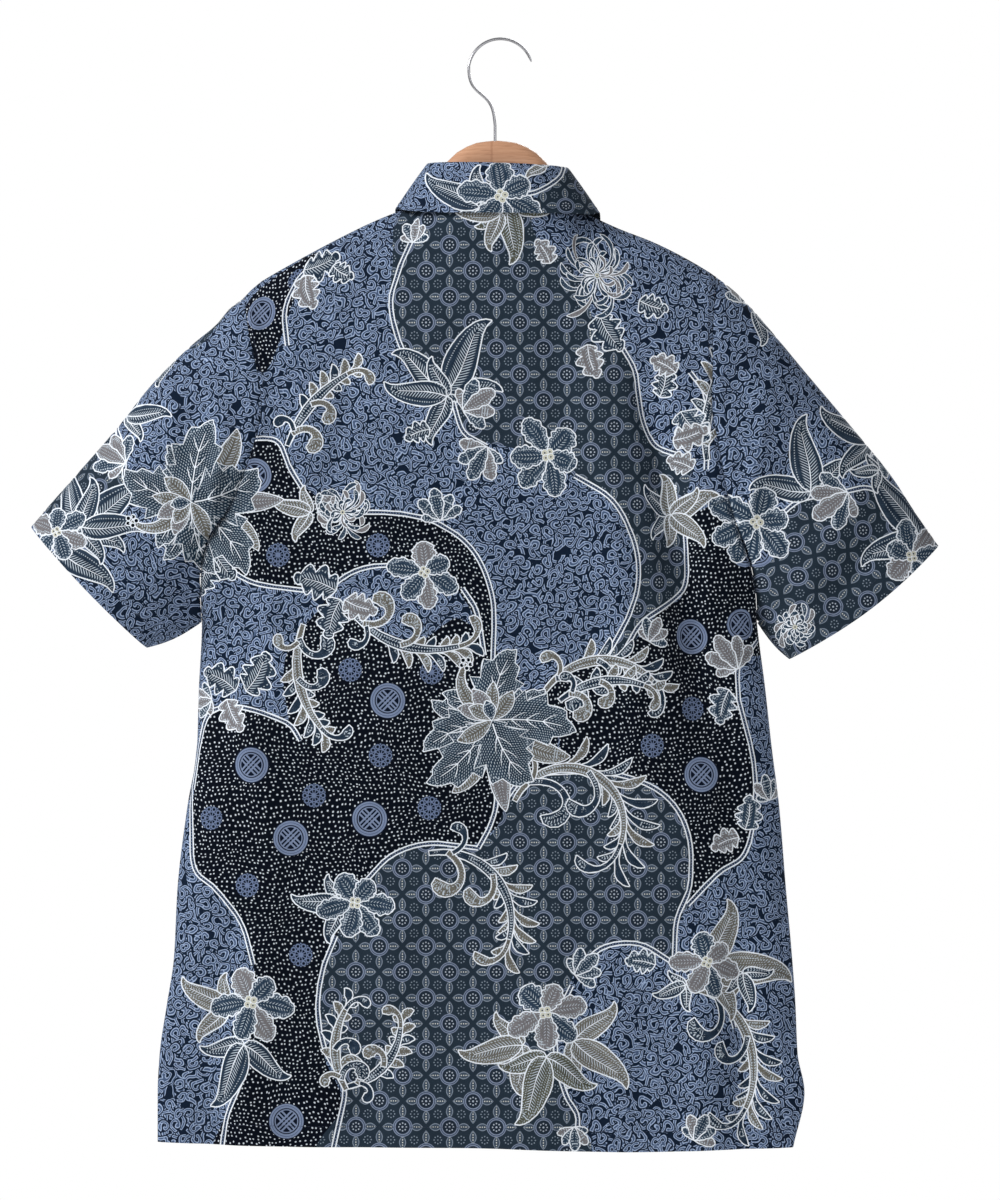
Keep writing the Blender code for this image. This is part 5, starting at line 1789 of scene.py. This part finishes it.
back = back_net()
paper = unrolled(back, back.shape[1] // 2)
drawn = drawn_print(BACK_PRINT)
piece = printed_cloth("back_of_printed_cotton", back, paper, backward, drawn, CLOTH)
finished(piece, "back_panel")
fronts, sleeves = {}, {}
for side, name in ((-1, "left"), (1, "right")):
    front = fronts[side] = front_net(side)
    paper = unrolled(front, front.shape[1] - 1)
    # The fronts are cut from the same cloth, a hand's width further along and turned over.
    turned = []
    for way in (side, -side):
        shift = (FRONT_PRINT_MIDDLE + FRONT_PRINT_ASIDE * way, FRONT_PRINT_UP)
        turned += moved(drawn, lambda points: points * (-1.0, 1.0) + shift)
    piece = printed_cloth("front_of_printed_cotton_" + name, front, paper, forward, turned, CLOTH)
    finished(piece, "front_" + name)
    sleeve = sleeves[side] = sleeve_net(back, front, side)
    paper = sleeve_paper(sleeve, side)
    half = sleeve.shape[1] // 2
    shown = drawn_print(LEFT_SLEEVE_PRINT if side < 0 else RIGHT_SLEEVE_PRINT)
    shown = moved(shown, onto(sleeve[:, : half + 1], paper[:, : half + 1]))
    middle = paper[len(paper) // 2, half]
    shown = moved(shown, lambda points: 2.0 * middle - points) + shown
    title, outward, turn = "sleeve_of_printed_cotton_" + name, from_axis(side), SLEEVE_GRAIN * side
    piece = printed_cloth(title, sleeve, paper, outward, shown, CLOTH, True, turn)
    finished(piece, "sleeve_" + name)


# ---- The collar ----
# The fall is cut from the printed cloth over a stiffening, and turns down over a stand of the same
# two layers. Both are sewn to the neck seam, and the stand's ends lap under its button.

stand = stand_net()
paper = collar_paper(stand)
piece = printed_cloth("collar_stand_of_cotton", stand, paper, from_neck, [], COLLAR_CLOTH)
finished(piece, "collar_stand")
fall = fall_net()
paper = collar_paper(fall)
shown = drawn_print(COLLAR_PRINT)
behind = slice(fall.shape[1] // 2 - 20, fall.shape[1] // 2 + 21)
shown = moved(shown, onto(fall[5:, behind], paper[5:, behind]))
piece = printed_cloth("collar_fall_of_cotton", fall, paper, from_neck, shown, COLLAR_CLOTH)
finished(piece, "collar_fall")


# ---- The hanger's wood ----
# One flat arch of beech with rounded edges and a raised middle, which carries the shirt at the
# shoulders. It's sanded and oiled, and its grain runs along it.

# Columns: distance from the middle, height of the top.
WOOD_HUMP = (
    (0, -82.2),
    (14, -83.6),
    (29, -89.6),
    (41.4, -100.4),
    (50.5, -115),
    (57, -131.5),
    (64, -145),
    (80, -153),
    (100, -159.5),
)


WOOD_REACH = 197.0


def wood_top(x):
    across = np.abs(x)
    hump = read(WOOD_HUMP, 1, across)
    seat = ridge(np.copysign(np.maximum(across, 70.0), x)) - 1.9
    return np.where(across < 70.0, hump, hump + (seat - hump) * smooth((across - 82.0) / 36.0))


def chosen(mesh, pick):
    """Selects in edit mode the faces whose centre and normal pass a test."""
    bpy.ops.object.mode_set(mode="OBJECT")
    for face in mesh.polygons:
        face.select = bool(pick(face.center, face.normal))
    bpy.ops.object.mode_set(mode="EDIT")


def beech(tree):
    """Straight grain with short pores and a darker line of pith along the middle."""
    x, y, z = solid_places(tree)
    figure = speckle(x * 0.05, z + y * 0.6, 3.0, 3.0)
    pore = speckle(x * 0.16, (z + y * 0.6) * 3.4, 3.0, 1.0)
    colour = blended(figure, ink(186, 132, 98), ink(218, 170, 136))
    colour = blended(pore.below(0.36, 0.1) * 0.5, colour, ink(158, 106, 76))
    return blended(abs(x + 3.2 + figure * 1.6).below(0.9, 0.7) * 0.35, colour, ink(150, 98, 68))


bpy.ops.object.select_all(action="DESELECT")
bpy.ops.mesh.primitive_cube_add(size=1.0, location=(0.0, 0.0, 0.0))
wood = bpy.context.object
wood.name = wood.data.name = "hanger_of_beech"
bpy.ops.object.mode_set(mode="EDIT")
bpy.ops.mesh.select_all(action="SELECT")
bpy.ops.mesh.subdivide(number_cuts=7)
bpy.ops.mesh.bisect(plane_co=(0.0, 0.0, 0.0), plane_no=(1.0, 0.0, 0.0))
for cut in range(1, 48):
    bpy.ops.mesh.select_all(action="SELECT")
    bpy.ops.mesh.bisect(plane_co=(cut / 48.0 - 0.5, 0.0, 0.0), plane_no=(1.0, 0.0, 0.0))
bpy.ops.mesh.select_all(action="SELECT")
bpy.ops.mesh.remove_doubles(threshold=1e-5)
bpy.ops.object.mode_set(mode="OBJECT")
for corner in wood.data.vertices:
    place, side, height = [2.0 * value for value in corner.co]
    taper = math.sqrt(max(0.0, 1.0 - abs(place) ** 18))
    tall = (30.0 - 15.0 * float(smooth(1.1 * abs(place)))) * (0.35 + 0.65 * taper)
    middle = float(wood_top(WOOD_REACH * place)) - tall / 2 - 0.2 * (1.0 - taper) * 15.0
    half = 6.5 * (0.4 + 0.6 * taper)
    y = half * side * math.sqrt(1.0 - 0.42 * height**2)
    z = middle + tall / 2 * height - (6.0 if height > 0.0 else 4.0) * abs(side) ** 1.7 * height
    corner.co = (WOOD_REACH * MM * place, y * MM, z * MM)
wood.data.shade_smooth()
wood.data.materials.append(hard_material("oiled_beech", beech, 0.42, grained=0.25))
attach(wood, "root")
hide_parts("hanger_wood")


# ---- The hanger's hook ----
# Bright plated steel wire, bent to an open round hook whose tip is rounded off. Its straight end
# is pressed into a hole in the top of the wood.

WIRE_RADIUS = 1.2
HOOK_MIDDLE = (3.3, -24.8)
HOOK_BEND = 26.6
STEM_X = -1.2


def hook_line():
    """The wire's middle line: round the hook from its tip, back under it and down into the wood."""
    turns = np.radians(np.linspace(17.0, 216.0, 49))
    across, up = HOOK_MIDDLE
    ring = HOOK_BEND * np.stack([np.cos(turns), np.sin(turns)], -1)
    points = [(across + x, up + z) for x, z in ring]
    start, bend, end = np.array(points[-1]), np.array((-5.6, -47.0)), np.array((STEM_X, -58.0))
    for t in np.linspace(0.0, 1.0, 13)[1:]:
        points.append(tuple(start * (1 - t) ** 2 + bend * 2 * t * (1 - t) + end * t * t))
    points = np.array(points + [(STEM_X, z) for z in (-64.0, -70.0, -85.0, -99.9)])
    for _ in range(14):
        points[38:-3] = (points[37:-4] + 2.0 * points[38:-3] + points[39:-2]) / 4.0
    return points


def steel(tree):
    x, y, z = solid_places(tree)
    drawn = speckle(x + y, z * 0.3, 1.4, 2.0)
    return blended(drawn, ink(176, 176, 182), ink(198, 198, 202))


bpy.ops.object.select_all(action="DESELECT")
bpy.ops.curve.primitive_nurbs_path_add(location=(0.0, 0.0, 0.0))
hook = bpy.context.object
hook.name = "hook_of_steel_wire"
wire = hook.data
wire.splines.clear()
wire.bevel_depth = WIRE_RADIUS * MM
wire.bevel_resolution = 5
wire.use_fill_caps = True
line = hook_line()
spline = wire.splines.new("POLY")
spline.points.add(len(line) - 1)
for point, (x, z) in zip(spline.points, line):
    point.co = (x * MM, 0.0, z * MM, 1.0)
for point, share in zip(spline.points, (0.45, 0.8, 0.97)):
    point.radius = share
bpy.ops.object.convert(target="MESH")
hook = bpy.context.object
hook.data.name = "hook_of_steel_wire"
bpy.ops.object.mode_set(mode="EDIT")
bpy.ops.mesh.select_all(action="SELECT")
bpy.ops.mesh.remove_doubles(threshold=1e-6)
bpy.ops.mesh.normals_make_consistent(inside=False)
bpy.ops.object.mode_set(mode="OBJECT")
hook.data.materials.clear()
bpy.ops.object.shade_smooth_by_angle(angle=math.radians(40.0))
hook.data.materials.append(hard_material("bright_steel", steel, 0.24, metallic=1.0))
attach(hook, "root")
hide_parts("hanger_hook")


# ---- The buttons ----
# Seven four-hole buttons, turned from dark polyester resin with a dished face and a round rim. Each
# is sewn on with a cross of doubled navy thread: one at the stand, six down the front.


def resin(tree):
    """Dark mother-of-pearl look: slow clouds of blue-grey."""
    x, y, z = solid_places(tree)
    return blended(speckle(x, z, 5.0, 3.0), ink(44, 52, 66), ink(98, 106, 122))


def thread(tree):
    x, y = places(tree, "cloth")
    twist = abs((x + y * 2.0).off_step(0.7))
    return blended(twist.below(0.16, 0.2), ink(44, 56, 84), ink(18, 26, 44))


resin_look = hard_material("dark_resin", resin, 0.3)
navy_thread = hard_material("navy_thread", thread, 0.7)


BUTTON_RADIUS = 5.6
BUTTON_DEPTH = 2.4
HOLE_RADIUS = 0.6
HOLE_OFF = 1.45


def turned_button():
    """One button at the origin, its back at y = 0 and its face toward +Y."""
    bpy.ops.object.select_all(action="DESELECT")
    turned = (math.radians(-90.0), 0.0, 0.0)
    spot, depth = (0.0, BUTTON_DEPTH / 2 * MM, 0.0), BUTTON_DEPTH * MM
    bpy.ops.mesh.primitive_cylinder_add(
        vertices=40, radius=BUTTON_RADIUS * MM, depth=depth, location=spot, rotation=turned
    )
    button = bpy.context.object
    bpy.ops.object.transform_apply(location=True, rotation=True, scale=True)
    chosen(button.data, lambda place, normal: normal.y > 0.9)
    bpy.ops.mesh.inset(thickness=1.25 * MM)
    bpy.ops.mesh.inset(thickness=0.5 * MM)
    bpy.ops.transform.translate(value=(0.0, -0.95 * MM, 0.0))
    bpy.ops.object.mode_set(mode="OBJECT")
    bevel = button.modifiers.new("worn_rim", "BEVEL")
    bevel.width = 0.42 * MM
    bevel.segments = 3
    bevel.limit_method = "ANGLE"
    bpy.ops.object.modifier_apply(modifier="worn_rim")
    for across in (-HOLE_OFF, HOLE_OFF):
        for up in (-HOLE_OFF, HOLE_OFF):
            bpy.ops.object.select_all(action="DESELECT")
            spot = (across * MM, 0.0, up * MM)
            bpy.ops.mesh.primitive_cylinder_add(
                vertices=14, radius=HOLE_RADIUS * MM, depth=8.0 * MM, location=spot, rotation=turned
            )
            drill = bpy.context.object
            bpy.context.view_layer.objects.active = button
            hole = button.modifiers.new("thread_hole", "BOOLEAN")
            hole.object = drill
            bpy.ops.object.modifier_apply(modifier="thread_hole")
            bpy.data.objects.remove(drill)
    bpy.ops.object.select_all(action="DESELECT")
    button.select_set(True)
    bpy.context.view_layer.objects.active = button
    bpy.ops.object.shade_smooth_by_angle(angle=math.radians(35.0))
    return button


def strand(points, radius, corners, faces, sides=6):
    """Adds a closed round strand along points to a list of corners and faces."""
    points = np.array(points, float)
    ways = unit(np.gradient(points, axis=0))
    first = len(corners)
    for point, way in zip(points, ways):
        aside = unit(np.cross(way, (0.13, 0.09, 0.98) if abs(way[2]) < 0.9 else (1.0, 0.1, 0.0)))
        other = np.cross(way, aside)
        for step in range(sides):
            turn = 2.0 * math.pi * step / sides
            corners.append(point + radius * (aside * math.cos(turn) + other * math.sin(turn)))
    for row in range(len(points) - 1):
        for step in range(sides):
            low, after = first + row * sides + step, first + row * sides + (step + 1) % sides
            faces.append((low, after, after + sides, low + sides))
    faces.append(tuple(range(first, first + sides))[::-1])
    faces.append(tuple(range(len(corners) - sides, len(corners))))


master = turned_button()
corners, faces = [], []
for number in range(7):
    replaced = "button_stand" if number == 6 else f"button_front_{number + 1}"
    low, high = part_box(replaced)
    middle = Vector(((low[0] + high[0]) / 2, low[1], (low[2] + high[2]) / 2))
    button = master.copy()
    button.data = master.data.copy()
    button.name = button.data.name = f"resin_button_{number + 1}"
    for corner in button.data.vertices:
        corner.co += middle
    button.data.materials.append(resin_look)
    bpy.context.collection.objects.link(button)
    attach(button, "root")
    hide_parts(replaced)
    for lift, way in ((1.62, 1.0), (1.95, -1.0)):
        for shift in (-0.24, 0.24):
            run = [(HOLE_OFF, -0.25), (HOLE_OFF, 1.1), (1.2, lift)]
            run = [(-x, y) for x, y in run] + [(0.0, lift + 0.12)] + run[::-1]
            line = [(x + shift, y, way * x - shift * way) for x, y in run]
            strand(line + np.array(middle) / MM, 0.2, corners, faces)
bpy.data.objects.remove(master)


def sewn_mesh(name, corners, faces):
    """One mesh of thread for a piece's sewing."""
    mesh = bpy.data.meshes.new(name)
    mesh.from_pydata((np.array(corners) * MM).tolist(), [], faces)
    loops = np.empty(len(mesh.loops), int)
    mesh.loops.foreach_get("vertex_index", loops)
    flat = np.array(corners)[loops][:, [0, 2]] * MM
    mesh.uv_layers.new(name="cloth").data.foreach_set("uv", flat.astype(np.float32).reshape(-1))
    mesh.materials.append(navy_thread)
    mesh.shade_smooth()
    piece = linked(name, mesh)
    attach(piece, "root")


sewn_mesh("button_thread", corners, faces)


# ---- The sewing ----
# Lockstitch in navy thread, about nine stitches an inch: the level hem, the sleeve hems, the front
# band's edge, the collar's edge, the stand and a row beside each armhole.


HEM_IN = 17.0
SLEEVE_HEM_IN = 16.0
ARMHOLE_IN = 5.0
BAND_IN = 4.0
FALL_IN = 4.6
STAND_IN = 1.8
SHOULDER_IN = 1.6
ARMHOLE_END = 0.45


def inward(net, normals, inset):
    """Points and normals of a net at one distance from its first row."""
    away = totals(np.linalg.norm(np.diff(net, axis=0), axis=2))
    spots, ways = [], []
    for column in range(net.shape[1]):
        share = np.interp(inset, away[:, column], np.arange(len(net)))
        row = min(int(share), len(net) - 2)
        spots.append(net[row, column] * (1 - share + row) + net[row + 1, column] * (share - row))
        ways.append(normals[row, column])
    return np.array(spots), np.array(ways)


def stitch_row(net, outward, inset, corners, faces, last=1.0, length=2.1, step=2.9):
    """Adds a row of stitches that lies on a net at one distance from its first row."""
    spots, ways = inward(net, net_normals(net, outward), inset)
    run = totals(np.linalg.norm(np.diff(spots, axis=0), axis=1))
    for start in np.arange(0.5, run[-1] * last - length, step):
        at = np.linspace(start, start + length, 5)
        line = np.stack([np.interp(at, run, spots[:, axis]) for axis in range(3)], -1)
        way = np.stack([np.interp(at, run, ways[:, axis]) for axis in range(3)], -1)
        sunk = np.array((-0.16, 0.1, 0.2, 0.1, -0.16))
        strand(line + way * sunk[:, None], 0.17, corners, faces, 4)


def sewing(name, rows):
    corners, faces = [], []
    for net, outward, inset, *last in rows:
        stitch_row(net, outward, inset, corners, faces, *last)
    sewn_mesh(name, corners, faces)


# Columns: net, the side it faces, distance in from its edge, share of it where the row ends.
across_back = back.transpose(1, 0, 2)
sewing(
    "stitches_of_back",
    (
        (back[::-1], backward, HEM_IN),
        (across_back, backward, ARMHOLE_IN, ARMHOLE_END),
        (across_back[::-1], backward, ARMHOLE_IN, ARMHOLE_END),
        (back, backward, SHOULDER_IN),
    ),
)
for side, name in ((-1, "left"), (1, "right")):
    across = fronts[side].transpose(1, 0, 2)
    sewing(
        "stitches_of_front_" + name,
        (
            (fronts[side][::-1], forward, HEM_IN),
            (across, forward, ARMHOLE_IN, ARMHOLE_END),
            (across[::-1], forward, BAND_IN),
        ),
    )
    sewing("stitches_of_sleeve_" + name, ((sleeves[side][::-1], from_axis(side), SLEEVE_HEM_IN),))
collar_rows = (fall[::-1], from_neck, FALL_IN), (stand[::-1], from_neck, STAND_IN)
sewing("stitches_of_collar", collar_rows)


# ---- Camera, light and floor ----
# The shirt is seen straight from behind, from far off. A strong lamp lights it from the upper left,
# a broad weak one fills the shade and a third lights the front, over a pale floor in white light.

camera_data = bpy.data.cameras.new("camera")
SENSOR, DISTANCE, VIEW_HEIGHT = 36.0, 4.0, 0.984
camera_data.lens = SENSOR * DISTANCE / VIEW_HEIGHT
camera_data.sensor_width = SENSOR
camera = linked("camera", camera_data)
camera.location = (0.00287, -4.03, -0.4618)
camera.rotation_euler = (math.radians(90.0), 0.0, 0.0)
bpy.context.scene.camera = camera

for name, place, aim, size, power in (
    ("key_light", (-2.9, -1.5, 1.3), (0.0, 0.0, -0.45), 1.2, 120.0),
    ("fill_light", (1.4, -3.2, 0.0), (0.0, 0.0, -0.5), 2.4, 24.0),
    ("front_light", (1.2, 2.6, 1.4), (0.0, 0.0, -0.4), 2.0, 64.0),
):
    light_data = bpy.data.lights.new(name, "AREA")
    light_data.size = size
    light_data.energy = power
    light = linked(name, light_data)
    light.location = place
    light.rotation_euler = (Vector(aim) - Vector(place)).to_track_quat("-Z", "Y").to_euler()

world = bpy.data.worlds.new("white_studio")
world.use_nodes = True
tree = world.node_tree
sky = tree.nodes["Background"]
sky.inputs["Color"].default_value = (1.0, 1.0, 1.0, 1.0)
# The cloth is lit by a softer sky than the one that's seen behind it.
seen = Wire(tree, node(tree, "LightPath").outputs["Is Camera Ray"])
strength = node(tree, "Math", seen, 0.7, 0.3, operation="MULTIPLY_ADD")
tree.links.new(strength.outputs[0], sky.inputs["Strength"])
bpy.context.scene.world = world
bpy.context.scene.view_settings.view_transform = "Standard"

floor_mesh = bpy.data.meshes.new("floor")
corners = [(x, y, -1.5) for x, y in ((-2.5, -2.5), (2.5, -2.5), (2.5, 2.5), (-2.5, 2.5))]
floor_mesh.from_pydata(corners, [], [(0, 1, 2, 3)])
pale = {"Base Color": (0.86, 0.86, 0.85, 1.0), "Roughness": 0.9}
floor_mesh.materials.append(new_material("pale_floor", pale)[0])
floor = linked("floor", floor_mesh)
